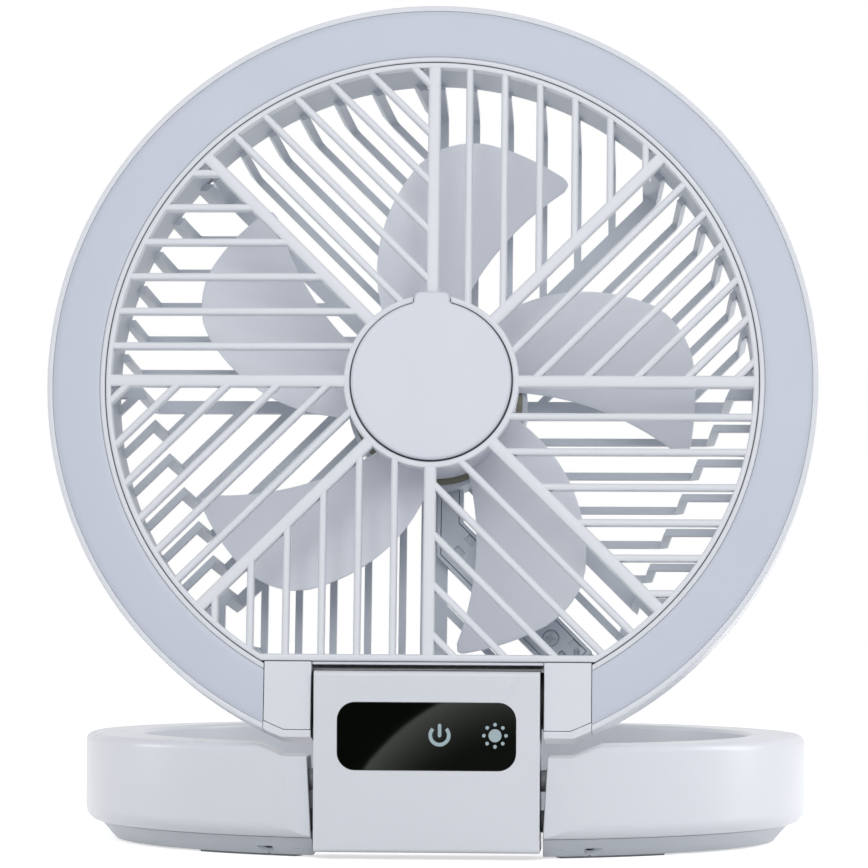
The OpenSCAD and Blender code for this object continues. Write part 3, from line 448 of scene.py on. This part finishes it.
def rounded_node(name, node, body, width, angle=35, segments=3, keep=None):
    """A moulding with the CAD node's shape and softly rounded edges."""
    made = piece_from(name, smooth(rounded_copy(node, width, angle, segments, keep)))
    weigh = made.modifiers.new("even_flats", "WEIGHTED_NORMAL")
    weigh.keep_sharp = True
    weigh.weight = 50
    apply_modifiers(made)
    return show(made, body, [node], SLOT_OF[node])


def arc(centre, radius, start, end, steps=6):
    return [(centre[0] + radius * cos(radians(start + (end - start) * i / steps)),
             centre[1] + radius * sin(radians(start + (end - start) * i / steps)))
            for i in range(steps + 1)]


def band(here, there, count):
    """The faces between two loops of count points, from the index that each starts at."""
    return [(here + j, here + (j + 1) % count, there + (j + 1) % count, there + j)
            for j in range(count)]


def turned(name, profile, steps=240):
    """A solid of revolution about z from a closed profile of radius and height."""
    points, faces = [], []
    count = len(profile)
    for i in range(steps):
        angle = 2 * pi * i / steps
        points += [(r * cos(angle), r * sin(angle), z) for r, z in profile]
        faces += band(i * count, (i + 1) % steps * count, count)
    return mesh_of(name, points, faces)


def carve(made, *cutters):
    """Cuts the other objects out of one, then removes them."""
    for cutter in cutters:
        cut = made.modifiers.new("cut", "BOOLEAN")
        cut.operation = "DIFFERENCE"
        cut.solver = "EXACT"
        cut.object = cutter
        apply_modifiers(made)
        bpy.data.objects.remove(cutter)
    return made


def block(x0, x1, y0, y1, z0, z1):
    points = [(x, y, z) for x in (x0, x1) for y in (y0, y1) for z in (z0, z1)]
    faces = [(0, 1, 3, 2), (4, 6, 7, 5), (0, 4, 5, 1), (2, 3, 7, 6), (0, 2, 6, 4), (1, 5, 7, 3)]
    return piece_from("cutter", mesh_of("cutter", points, faces))


# ---------- geometry node helpers ----------


def grown(name, tree, values):
    """The mesh that a geometry tree makes with these values for its named inputs."""
    made = piece_from(name, bpy.data.meshes.new(name))
    grow = made.modifiers.new("grow", "NODES")
    grow.node_group = tree
    sockets = {item.name: item.identifier for item in tree.interface.items_tree
               if item.item_type == "SOCKET" and item.in_out == "INPUT"}
    for key, value in values.items():
        grow[sockets[key]] = value
    apply_modifiers(made)
    work = bmesh.new()
    work.from_mesh(made.data)
    bmesh.ops.remove_doubles(work, verts=work.verts, dist=1e-9)
    bmesh.ops.recalc_face_normals(work, faces=work.faces)
    work.to_mesh(made.data)
    work.free()
    return made


def close_tree(tree, geometry, material, out):
    """Ends a geometry tree: instances made real, and the finish set."""
    real = put(tree, "GeometryNodeRealizeInstances", {"Geometry": geometry})
    painted = put(tree, "GeometryNodeSetMaterial", {
        "Geometry": real.outputs[0], "Material": material})
    tree.links.new(painted.outputs[0], out["Geometry"])


def closed_solid(tree, sheet, offset):
    """The solid between a sheet and the same sheet moved by an offset."""
    drawn = put(tree, "GeometryNodeExtrudeMesh", {
        "Mesh": sheet, "Offset": offset, "Offset Scale": 1.0, "Individual": False})
    both = put(tree, "GeometryNodeJoinGeometry")
    tree.links.new(drawn.outputs["Mesh"], both.inputs[0])
    tree.links.new(put(tree, "GeometryNodeFlipFaces", {"Mesh": sheet}).outputs[0], both.inputs[0])
    return put(tree, "GeometryNodeMergeByDistance", {
        "Geometry": both.outputs[0], "Distance": WELD}).outputs[0]


def section_bar(tree, width, depth, front_round, back_round):
    """A bar one metre long along x with rounded edges, its front face at z = 0."""
    flat = put(tree, "GeometryNodeCurvePrimitiveQuadrilateral", {"Width": depth, "Height": width})
    place = put(tree, "ShaderNodeSeparateXYZ", {
        "Vector": put(tree, "GeometryNodeInputPosition").outputs[0]})
    behind = Term(tree, place.outputs["X"]).apply("GREATER_THAN", 0.0)
    bend = Term(tree, front_round) + (Term(tree, back_round) - Term(tree, front_round)) * behind
    rounded = put(tree, "GeometryNodeFilletCurve", {
        "Curve": flat.outputs[0], "Count": 4, "Radius": bend.value}, mode="POLY")
    face = put(tree, "GeometryNodeFillCurve", {"Curve": rounded.outputs[0]}, mode="NGONS")
    turn = put(tree, "GeometryNodeTransform", {
        "Geometry": closed_solid(tree, face.outputs[0], (0, 0, 1)), "Rotation": (0, pi / 2, 0),
        "Translation": vector_of(tree, z=Term(tree, depth) * -0.5)})
    return turn.outputs[0]


def make_pinwheel_tree():
    """Spokes, and between them ribs that run parallel to the spoke on their left."""
    length = "NodeSocketFloat"
    spoke_rise, shortest, endless = 0.00005, 0.001, 10
    tree, given, out = open_group(
        "pinwheel_ribs", "GeometryNodeTree",
        {"Rib pitch": (length, 0.0115), "Rib width": (length, 0.0023),
         "Spoke width": (length, 0.004), "Depth": (length, 0.0036),
         "Ring radius": (length, 0.105), "Hub radius": (length, 0.0279),
         "Foot drop": (length, 0.0903), "Front round": (length, 0.0008),
         "Back round": (length, 0.0003), "Sectors": ("NodeSocketInt", 8),
         "Ribs in a sector": ("NodeSocketInt", 6),
         "Material": ("NodeSocketMaterial", None)},
        {"Geometry": "NodeSocketGeometry"})
    sector = 2 * pi / Term(tree, given["Sectors"])
    ring = Term(tree, given["Ring radius"])
    hub = Term(tree, given["Hub radius"])

    def bars(count, width, index_in_sector, sector_index, rise):
        off = Term(tree, given["Rib pitch"]) * index_in_sector
        turn = sector * (sector_index + 1)
        start = off.at_least((hub * hub - off * off).root())
        to_ring = (ring * ring - off * off).root()
        down = (-turn.sine()).at_least(0.001)
        to_foot = ((Term(tree, given["Foot drop"]) - off * turn.cosine()) / down).at_least(0)
        upward = turn.sine().apply("GREATER_THAN", -0.01)
        run = to_ring.at_most(to_foot + upward * endless) - start
        points = put(tree, "GeometryNodePoints", {"Count": count})
        spot = vector_of(tree, start * turn.cosine() + off * turn.sine(),
                         start * turn.sine() - off * turn.cosine(), rise)
        tree.links.new(spot, points.inputs["Position"])
        bar = section_bar(tree, width, given["Depth"], given["Front round"], given["Back round"])
        placed = put(tree, "GeometryNodeInstanceOnPoints", {
            "Points": points.outputs[0], "Instance": bar,
            "Selection": run.apply("GREATER_THAN", shortest).value,
            "Rotation": vector_of(tree, z=turn), "Scale": vector_of(tree, run, 1, 1)})
        return placed.outputs[0]

    index = Term(tree, put(tree, "GeometryNodeInputIndex").outputs[0])
    ribs_each = Term(tree, given["Ribs in a sector"])
    total = (ribs_each * Term(tree, given["Sectors"])).value
    turn_index = (index / ribs_each).apply("FLOOR")
    joined = put(tree, "GeometryNodeJoinGeometry")
    ribs = bars(total, given["Rib width"], index - turn_index * ribs_each + 1, turn_index, 0)
    spokes = bars(given["Sectors"], given["Spoke width"], index * 0, index, spoke_rise)
    tree.links.new(ribs, joined.inputs[0])
    tree.links.new(spokes, joined.inputs[0])
    close_tree(tree, joined.outputs[0], given["Material"], out)
    return tree


def make_blade_tree():
    """Swept fan blades round a hub, each a solid sheet between two edge curves. s runs from
    root to tip and t from the leading to the trailing edge, both from 0 to 1."""
    number = "NodeSocketFloat"
    nose_share, nose_cut = 0.1, 0.0036
    heel_start, heel_cut = 0.66, 0.0085
    lead_angle, lead_sweep, lead_from, lead_to = 76.4, 17, 0.030, 0.034
    trail_angle, trail_sweep, trail_bow, trail_from = 123.3, 35, 1.2, 0.032
    thin_half, belly_half, tip_thinning = 0.00045, 0.0006, 0.4
    root_fall, fall_lost, belly_depth = 0.016, 0.002, 0.0024
    tree, given, out = open_group(
        "swept_blades", "GeometryNodeTree",
        {"Tip radius": (number, 0.0855), "Root radius": (number, 0.0255),
         "Middle depth": (number, 0.0285), "Blades": ("NodeSocketInt", 5),
         "Rows": ("NodeSocketInt", 33), "Columns": ("NodeSocketInt", 41),
         "Material": ("NodeSocketMaterial", None)},
        {"Geometry": "NodeSocketGeometry"})
    sheet = put(tree, "GeometryNodeMeshGrid", {
        "Size X": 1.0, "Size Y": 1.0, "Vertices X": given["Rows"], "Vertices Y": given["Columns"]})
    share = put(tree, "ShaderNodeSeparateXYZ", {"Vector": sheet.outputs["UV Map"]})
    s, t = Term(tree, share.outputs["X"]), Term(tree, share.outputs["Y"])
    tip, root = Term(tree, given["Tip radius"]), Term(tree, given["Root radius"])
    nose = (1 - t / nose_share).at_least(0)
    heel = ((t - heel_start) / (1 - heel_start)).at_least(0)
    reach = (tip - nose_cut * (1 - (1 - nose * nose).root())
             - heel_cut * (1 - (1 - heel * heel).root()))
    r = root + (reach - root) * s
    lead = lead_angle - lead_sweep * (r - lead_from) / (tip - lead_to)
    p = (r - trail_from) / (tip - trail_from)
    trail = trail_angle - trail_sweep * p + trail_bow * (p * pi).sine()
    angle = (lead + (trail - lead) * t) * (pi / 180)
    belly = (t * pi).sine()
    half = thin_half + belly_half * belly * (1 - tip_thinning * s)
    depth = (Term(tree, given["Middle depth"]) + (0.5 - t) * (root_fall - fall_lost * s)
             - belly_depth * belly)
    front = put(tree, "GeometryNodeSetPosition", {
        "Geometry": sheet.outputs["Mesh"],
        "Position": vector_of(tree, r * angle.cosine(), r * angle.sine(), half - depth)})
    blade = closed_solid(tree, front.outputs[0], vector_of(tree, z=half * -2))
    points = put(tree, "GeometryNodePoints", {"Count": given["Blades"]})
    index = Term(tree, put(tree, "GeometryNodeInputIndex").outputs[0])
    turn = index * 2 * pi / Term(tree, given["Blades"])
    placed = put(tree, "GeometryNodeInstanceOnPoints", {
        "Points": points.outputs[0], "Instance": blade, "Rotation": vector_of(tree, z=turn)})
    close_tree(tree, placed.outputs[0], given["Material"], out)
    return tree


def make_set_tree():
    """The same small piece set at every point of a mesh."""
    tree, given, out = open_group(
        "set_at_points", "GeometryNodeTree",
        {"Points": ("NodeSocketObject", None), "Piece": ("NodeSocketObject", None),
         "Turn": ("NodeSocketRotation", None), "Spread": ("NodeSocketFloat", 360.0),
         "Seed": ("NodeSocketInt", 3), "Material": ("NodeSocketMaterial", None)},
        {"Geometry": "NodeSocketGeometry"})
    spots = put(tree, "GeometryNodeObjectInfo", {"Object": given["Points"]})
    small = put(tree, "GeometryNodeObjectInfo", {"Object": given["Piece"], "As Instance": True})
    chance = put(tree, "FunctionNodeRandomValue", {"Seed": given["Seed"]}, data_type="FLOAT")
    twist = Term(tree, chance.outputs[1]) * Term(tree, given["Spread"]) * (pi / 180)
    own_turn = put(tree, "FunctionNodeEulerToRotation", {"Euler": vector_of(tree, z=twist)})
    whole = put(tree, "FunctionNodeRotateRotation", {
        "Rotation": given["Turn"], "Rotate By": own_turn.outputs[0]}, rotation_space="LOCAL")
    placed = put(tree, "GeometryNodeInstanceOnPoints", {
        "Points": spots.outputs["Geometry"], "Instance": small.outputs["Geometry"],
        "Rotation": whole.outputs[0]})
    close_tree(tree, placed.outputs[0], given["Material"], out)
    return tree


SET_AT_POINTS = make_set_tree()


def solids_of(node):
    """The vertices of each separate solid of a CAD node, in the order of its mesh."""
    work = bmesh.new()
    work.from_mesh(frame["nodes"][node].data)
    bmesh.ops.remove_doubles(work, verts=work.verts, dist=WELD)
    seen, groups = set(), []
    for first in work.verts:
        if first in seen:
            continue
        seen.add(first)
        stack, group = [first], []
        while stack:
            vertex = stack.pop()
            group.append(vertex.co.copy())
            for edge in vertex.link_edges:
                other = edge.other_vert(vertex)
                if other not in seen:
                    seen.add(other)
                    stack.append(other)
        groups.append(group)
    work.free()
    return groups


def screw_mesh(head_r, head_h, shank_r, length):
    """A domed screw along z with a cross recess, the top of its head at z = 0."""
    crown, edge = min(0.35, head_h * 0.4), 0.25
    profile = ([(0, 0), (head_r * 0.45, -crown * 0.12), (head_r * 0.8, -crown * 0.55)]
               + arc((head_r - edge, -crown - edge), edge, 70, 0, 3)
               + [(head_r, -head_h), (shank_r, -head_h - 0.05), (shank_r, -length + 0.5),
                  (shank_r * 0.5, -length), (0, -length)])
    screw = piece_from("screw", turned("screw", profile, 32))
    wide, deep = head_r * 0.62, head_h * 0.62
    slot = max(0.14 * head_r, 0.2)
    return carve(screw, block(-wide, wide, -slot, slot, -deep, 1),
                 block(-slot, slot, -wide, wide, -deep, 1))


def set_screws(name, node, body, axis, head_r, head_h, shank_r, seed):
    """Screws where the CAD node's are; axis points from shank to head."""
    head_top = 0.05 * MM
    axis = Vector(axis).normalized()
    tops, lengths = [], []
    for group in solids_of(node):
        along = [p.dot(axis) for p in group]
        top = max(along)
        cap = [p for p, a in zip(group, along) if top - a < head_top]
        middle = sum(cap, Vector()) / len(cap)
        tops.append(middle - axis * (middle.dot(axis) - top))
        lengths.append(top - min(along))
    screw = screw_mesh(head_r, head_h, shank_r, min(lengths) / MM)
    screw.data.transform(BASE)
    smooth(screw.data)
    points = piece_from("points", bpy.data.meshes.new("points"))
    points.data.from_pydata(tops, [], [])
    made = grown(name, SET_AT_POINTS, {
        "Points": points, "Piece": screw,
        "Turn": Vector((0, 0, 1)).rotation_difference(axis).to_euler(),
        "Spread": 360.0, "Seed": seed, "Material": FINISHES[SLOT_OF[node]]})
    bpy.data.objects.remove(points)
    bpy.data.objects.remove(screw)
    smooth(made.data)
    return show(made, body, [node], SLOT_OF[node])


# ---------- head: front frame, light band ----------

HEAD_R = 125
RIM_IN_R = 123.2
BEAD_OUT_R = 107.8
BEAD_IN_R = 106.1
GRILLE_R = 105.9
DUCT_R = 104.1
FRAME_DEPTH = 14
FRAME_FLOOR = 12.2
BAR_LOW = 91.3
BAR_HIGH = 89.1
EAR_OUT = 52.6
FINE_STEPS = 288


def cut_the_foot(made, top):
    """Cuts away what lies between the ears below a height, where the hinge block is."""
    half, low, behind, before = EAR_OUT + 0.1, -200, -60, 10
    return carve(made, block(-half, half, low, top, behind, before))


def front_frame():
    """The white frame: a thin rim outside, a bead inside and the light band's tray between."""
    bead_round, rim_round, lip_round, back_edge = 0.5, 0.4, 0.15, 0.15
    shelf, band_back, shelf_back = 0.8, 1.7, 3
    profile = (
        [(BEAD_IN_R, -FRAME_DEPTH)]
        + arc((BEAD_IN_R + bead_round, -bead_round), bead_round, 180, 90, 5)
        + arc((BEAD_OUT_R - bead_round, -bead_round), bead_round, 90, 0, 5)
        + [(BEAD_OUT_R, -band_back), (BEAD_OUT_R + shelf, -band_back),
           (BEAD_OUT_R + shelf, -shelf_back), (BEAD_OUT_R, -shelf_back),
           (BEAD_OUT_R, -FRAME_FLOOR), (RIM_IN_R, -FRAME_FLOOR),
           (RIM_IN_R, -shelf_back), (RIM_IN_R - shelf, -shelf_back),
           (RIM_IN_R - shelf, -band_back), (RIM_IN_R, -band_back)]
        + arc((RIM_IN_R + lip_round, -lip_round), lip_round, 180, 90, 3)
        + arc((HEAD_R - rim_round, -rim_round), rim_round, 90, 0, 6)
        + [(HEAD_R, -FRAME_DEPTH + back_edge), (HEAD_R - back_edge, -FRAME_DEPTH)])
    made = piece_from("front_frame_moulding", turned("front_frame_moulding", profile, FINE_STEPS))
    cut_the_foot(made, 1 - BAR_HIGH)
    smooth(made.data)
    return show(made, "head", ["head_front_frame"], "white_plastic", HEAD)


def light_band():
    """The frosted ring over the lamps, very slightly crowned."""
    play, edge, back, sunk = 0.05, 0.12, -1.6, -0.16
    inner, outer = BEAD_OUT_R + play, RIM_IN_R - play
    middle = (inner + outer) / 2
    profile = (
        [(inner, back)] + arc((inner + edge, sunk - edge), edge, 180, 100, 3)
        + [(inner + 2, sunk + 0.02), (middle - 3, sunk + 0.06), (middle, sunk + 0.07),
           (middle + 3, sunk + 0.06), (outer - 2, sunk + 0.02)]
        + arc((outer - edge, sunk - edge), edge, 80, 0, 3) + [(outer, back)])
    made = piece_from("light_band_cover", turned("light_band_cover", profile, FINE_STEPS))
    cut_the_foot(made, -BAR_HIGH)
    smooth(made.data)
    return show(made, "head", ["light_diffuser"], "diffuser", HEAD)


front_frame()
light_band()

# ---------- front grille and hub cap ----------


def rounding(edge, angles):
    """How far in and how far back a rounded edge's points lie, from its side to its front."""
    return [(edge * (1 - cos(radians(a))), edge * (1 - sin(radians(a)))) for a in angles]


def grille_ring():
    """The grille's outer ring, flat along its foot where the bar is."""
    edge, depth, steps = 0.55, 4, 240
    outer_corner = degrees(asin(BAR_LOW / GRILLE_R))
    inner_corner = degrees(asin(BAR_HIGH / DUCT_R))
    corners = [270 + side * (90 - a) for side in (-1, 1) for a in (outer_corner, inner_corner)]
    angles = sorted({round(a, 6) for a in [i * 360 / steps for i in range(steps)] + corners})

    def reach(radius, drop, angle):
        down = -sin(radians(angle))
        return min(radius, drop / down) if down > 0 else radius

    rounded = rounding(edge, (20, 45, 70, 90))
    section = (
        [(0, 0, -depth), (0, 0, -edge)] + [(0, inset, -back) for inset, back in rounded]
        + [(1, inset, -back) for inset, back in reversed(rounded)]
        + [(1, 0, -edge), (1, 0, -depth)])
    points, faces, count = [], [], len(section)
    for i, angle in enumerate(angles):
        inner, outer = reach(DUCT_R, BAR_HIGH, angle), reach(GRILLE_R, BAR_LOW, angle)
        for outside, inset, z in section:
            r = outer - inset if outside else inner + inset
            points.append((r * cos(radians(angle)), r * sin(radians(angle)), z))
        faces += band(i * count, (i + 1) % len(angles) * count, count)
    return piece_from("grille_ring", mesh_of("grille_ring", points, faces))


def hub_ring():
    """The ring round the hub cap with its back plate, open for the cap's key."""
    inner, outer, inner_edge, edge = 26.4, 28.5, 0.4, 0.6
    back, plate_front, key_half, key_floor = -4.4, -3, 6.2, -2.95
    profile = (
        [(0, back), (0, plate_front), (inner, plate_front)]
        + arc((inner + inner_edge, -inner_edge), inner_edge, 180, 90, 4)
        + arc((outer - edge, -edge), edge, 90, 0, 5) + [(outer, back)])
    made = piece_from("hub_ring", turned("hub_ring", profile, 180))
    return carve(made, block(-key_half, key_half, 20, 40, key_floor, 3))


def join_pieces(name, made):
    """One object from several, which are removed."""
    work = bmesh.new()
    for piece in made:
        work.from_mesh(piece.data)
        bpy.data.objects.remove(piece)
    mesh = bpy.data.meshes.new(name)
    work.to_mesh(mesh)
    work.free()
    return piece_from(name, mesh)


def front_grille():
    """The grille's two rings with the ribs and spokes set just behind their fronts."""
    set_back = 0.12
    ribs = grown("ribs", make_pinwheel_tree(), {"Material": FINISHES["grille_plastic"]})
    ribs.data.transform(Matrix.Scale(1 / MM, 4))
    ribs.data.transform(Matrix.Translation((0, 0, -set_back)))
    made = join_pieces("front_grille_moulding", [grille_ring(), hub_ring(), ribs])
    smooth(made.data)
    return show(made, "head", ["front_grille"], "grille_plastic", HEAD)


def hub_cap():
    """The round cap and the key at its top in one piece, softly rounded all round."""
    radius, half, top, fillet, corner, edge = 26, 5.9, 29.1, 1.0, 2.2, 0.9
    low, crown = -2.8, 2.2

    def outline(inset, z):
        r, k, f, c, y = radius - inset, half - inset, fillet + inset, corner - inset, top - inset
        rise = sqrt((r + f) ** 2 - (k + f) ** 2)
        turn = degrees(asin(rise / (r + f)))
        points = arc((k + f, rise), f, turn + 180, 180, 5)
        points += arc((k - c, y - c), c, 0, 90, 6) + arc((c - k, y - c), c, 90, 180, 6)
        points += arc((-k - f, rise), f, 0, -turn, 5)
        points += arc((0, 0), r, 180 - turn, 360 + turn, 200)[1:-1]
        return [(x, y, z) for x, y in points]

    steps = [(0, low), (0, crown - edge)]
    steps += [(inset, crown - back) for inset, back in rounding(edge, (15, 30, 45, 60, 75, 90))]
    rings = [outline(inset, z) for inset, z in steps + [(edge + 0.1, crown)]]
    count = len(rings[0])
    faces = [tuple(range(count)), tuple(range(count * (len(rings) - 1), count * len(rings)))]
    for i in range(len(rings) - 1):
        faces += band(i * count, (i + 1) * count, count)
    made = piece_from("hub_cap_moulding", mesh_of("hub_cap_moulding", sum(rings, []), faces))
    smooth(made.data)
    return show(made, "head", ["hub_cap"], "grille_plastic", HEAD)


front_grille()
hub_cap()

# ---------- impeller ----------


def impeller():
    """Five swept blades on a shallow cup-shaped hub."""
    blades = grown("blades", make_blade_tree(), {"Material": FINISHES["blade_plastic"]})
    blades.data.transform(Matrix.Scale(1 / MM, 4))
    soften(blades.data, 0.25, 50, 2)
    hub_r, wall, front, back, can_r, shaft_r = 26.5, 1.8, -8, -36.8, 23, 2.02
    plate_back, step, front_edge, back_edge = front - 2, -15, 1.2, 0.3
    profile = (
        [(shaft_r, plate_back), (shaft_r, front)]
        + arc((hub_r - front_edge, front - front_edge), front_edge, 90, 0, 5)
        + arc((hub_r - back_edge, back + back_edge), back_edge, 0, -90, 3)
        + [(hub_r - wall, back), (hub_r - wall, step), (can_r, step), (can_r, plate_back)])
    hub = piece_from("hub", turned("hub", profile, 160))
    made = join_pieces("impeller_moulding", [blades, hub])
    smooth(made.data, 40)
    return show(made, "impeller", ["impeller"], "blade_plastic", HEAD)


impeller()

# ---------- mouldings with the CAD's own shape and rounded edges ----------


def round_the_panel(edge):
    """Whether an edge is on the opening in the housing's front, which stays crisp."""
    half, back, low, high = 30 * MM, -118 * MM, 27 * MM, 52 * MM
    return all(abs(v.co.x) < half and v.co.y < back and low < v.co.z < high for v in edge.verts)


rounded_node("ring_top_moulding", "base_top_shell", "base", 0.45, angle=38)
rounded_node("ring_bottom_cover", "base_bottom_cover", "base", 0.25, angle=38, segments=2)
rounded_node("ring_foot_pads", "rubber_feet", "base", 0.2)
rounded_node("housing_moulding", "control_housing", "base", 0.55, angle=38,
             keep=round_the_panel)
rounded_node("housing_back_cover", "housing_rear_cover", "base", 0.2, angle=38, segments=2)
rounded_node("rear_shell_moulding", "head_rear_shell", "head", 0.3, angle=38, segments=2)
rounded_node("ear_front_covers", "ear_covers", "head", 0.3)
rounded_node("rear_cage_moulding", "rear_grille", "head", 0.25, angle=38, segments=2)
rounded_node("cable_channel_lid", "cable_cover", "head", 0.15, segments=2)
rounded_node("touch_glass", "touch_panel", "base", 0.12, segments=2)

# ---------- screws ----------

set_screws("ring_cover_screws", "base_screws", "base", (0, 0, -1), 2.5, 1.0, 1.1, seed=5)
set_screws("shell_back_screws", "shell_screws", "head", HEAD_BACKWARD, 2.7, 0.9, 1.1, seed=7)
set_screws("cage_flange_screws", "grille_screws", "head", -HEAD_BACKWARD, 1.6, 0.95, 0.8,
           seed=9)
set_screws("back_cover_screws", "rear_cover_screws", "base", (0, 1, 0), 1.9, 0.8, 0.9, seed=11)
set_screws("channel_lid_screw", "cable_cover_screw", "head", -HEAD_BACKWARD, 2.7, 0.8, 1.1,
           seed=13)

# ---------- floor, light and camera ----------


def ray_share(tree):
    """1 for rays that should see the white room: from the camera, and in mirrors and glass."""
    path = put(tree, "ShaderNodeLightPath")
    seen = Term(tree, path.outputs["Is Camera Ray"])
    return seen.at_least(Term(tree, path.outputs["Is Glossy Ray"])).at_least(
        Term(tree, path.outputs["Is Transmission Ray"]))


def stage_sheet(name, corners):
    """A flat staged piece with its own bare material, whose tree and surface it returns."""
    made = piece_from(name, mesh_of(name, corners, [(0, 1, 2, 3)]))
    made.data.transform(BASE)
    finish = bpy.data.materials.new(name)
    finish.use_nodes = True
    tree = finish.node_tree
    tree.nodes.clear()
    made.data.materials.append(finish)
    return tree, tree.nodes.new("ShaderNodeOutputMaterial").inputs[0]


def pale_floor():
    """A matt floor that looks nearly white to the rays that see the room."""
    half, tone, lift = 4000, 0.86, 0.62
    tree, surface = stage_sheet(
        "pale_floor", [(-half, -half, 0), (half, -half, 0), (half, half, 0), (-half, half, 0)])
    matt = put(tree, "ShaderNodeBsdfDiffuse", {"Color": (tone, tone, tone, 1)})
    glow = put(tree, "ShaderNodeEmission", {
        "Color": (1, 1, 1, 1), "Strength": (ray_share(tree) * lift).value})
    both = put(tree, "ShaderNodeAddShader", {0: matt.outputs[0], 1: glow.outputs[0]})
    tree.links.new(both.outputs[0], surface)


def pale_room():
    """Even light from all round, at full strength to the rays that see the room."""
    level = 0.5
    room = bpy.data.worlds.new("pale_room")
    bpy.context.scene.world = room
    room.use_nodes = True
    tree = room.node_tree
    sky = tree.nodes["Background"]
    sky.inputs["Color"].default_value = (1, 1, 1, 1)
    tree.links.new((level + ray_share(tree) * (1 - level)).value, sky.inputs["Strength"])


def softbox(name, place, aim, size, watts, tint=(1, 1, 1)):
    """A rectangular lamp of a size in metres that shines from its place at its aim."""
    lamp = bpy.data.lights.new(name, "AREA")
    lamp.shape = "RECTANGLE"
    lamp.size, lamp.size_y = size
    lamp.energy = watts
    lamp.color = tint
    made = bpy.data.objects.new(name, lamp)
    bpy.context.scene.collection.objects.link(made)
    made.location = place
    made.rotation_euler = (Vector(aim) - Vector(place)).to_track_quat("-Z", "Y").to_euler()
    made.visible_camera = False


def flag_card():
    """A dark card in front of the glass, seen only in reflections, with one soft bright edge."""
    glass_front, gap = -121.6, 250
    y = glass_front - gap
    x0, x1, z0, z1 = -80, 50, 2, 64
    cx, cz, radius, fade_width, crispness = 0.0298, -0.0298, 0.0821, 0.024, 900
    outside_level, inside_level, edge_level = 0.02, 0.07, 1.35
    tree, surface = stage_sheet(
        "flag_card", [(x0, y, z0), (x1, y, z0), (x1, y, z1), (x0, y, z1)])
    where = put(tree, "ShaderNodeSeparateXYZ", {
        "Vector": tree.nodes.new("ShaderNodeTexCoord").outputs["Object"]})
    x, z = Term(tree, where.outputs["X"]), Term(tree, where.outputs["Z"])
    away = ((x - cx) * (x - cx) + (z - cz) * (z - cz)).root() - radius
    inside = (away * -crispness + 0.5).at_least(0).at_most(1)
    fade = ((away + fade_width) / fade_width).at_least(0).at_most(1)
    level = inside * (inside_level + edge_level * fade * fade) + outside_level
    glow = put(tree, "ShaderNodeEmission", {
        "Color": (0.96, 1.0, 0.96, 1), "Strength": level.value})
    clear = put(tree, "ShaderNodeBsdfTransparent")
    pick = put(tree, "ShaderNodeMixShader", {
        0: put(tree, "ShaderNodeLightPath").outputs["Is Glossy Ray"],
        1: clear.outputs[0], 2: glow.outputs[0]})
    tree.links.new(pick.outputs[0], surface)


def camera():
    """A long lens in front, a little to the right, that looks slightly up."""
    lens = bpy.data.cameras.new("camera")
    lens.lens = 178.75
    lens.sensor_width = 36
    lens.shift_y = 0.05
    lens.clip_start, lens.clip_end = 0.05, 50
    made = bpy.data.objects.new("camera", lens)
    bpy.context.scene.collection.objects.link(made)
    made.location = (0.07657, -1.49557, 0.09182)
    yaw, pitch, roll = radians(3.105), radians(1.262), radians(0.278)
    made.rotation_euler = (
        Matrix.Rotation(yaw, 3, "Z") @ Matrix.Rotation(pi / 2 + pitch, 3, "X")
        @ Matrix.Rotation(roll, 3, "Z")
    ).to_euler()
    bpy.context.scene.camera = made


pale_floor()
pale_room()
flag_card()
softbox("front_softbox", (0.2, -2.2, 1.15), (0, 0, 0.1), (1.6, 1.2), 21, (0.98, 0.99, 1.0))
softbox("right_softbox", (1.45, 0.42, 0.5), (0, 0, 0.05), (0.4, 1.1), 10)
softbox("left_softbox", (-1.45, 0.25, 0.35), (0, 0, 0.05), (0.3, 0.6), 4.2)
softbox("top_softbox", (0.1, 0.1, 1.9), (0, 0, 0), (1.2, 1.2), 2)
camera()
bpy.context.scene.view_settings.view_transform = "Standard"
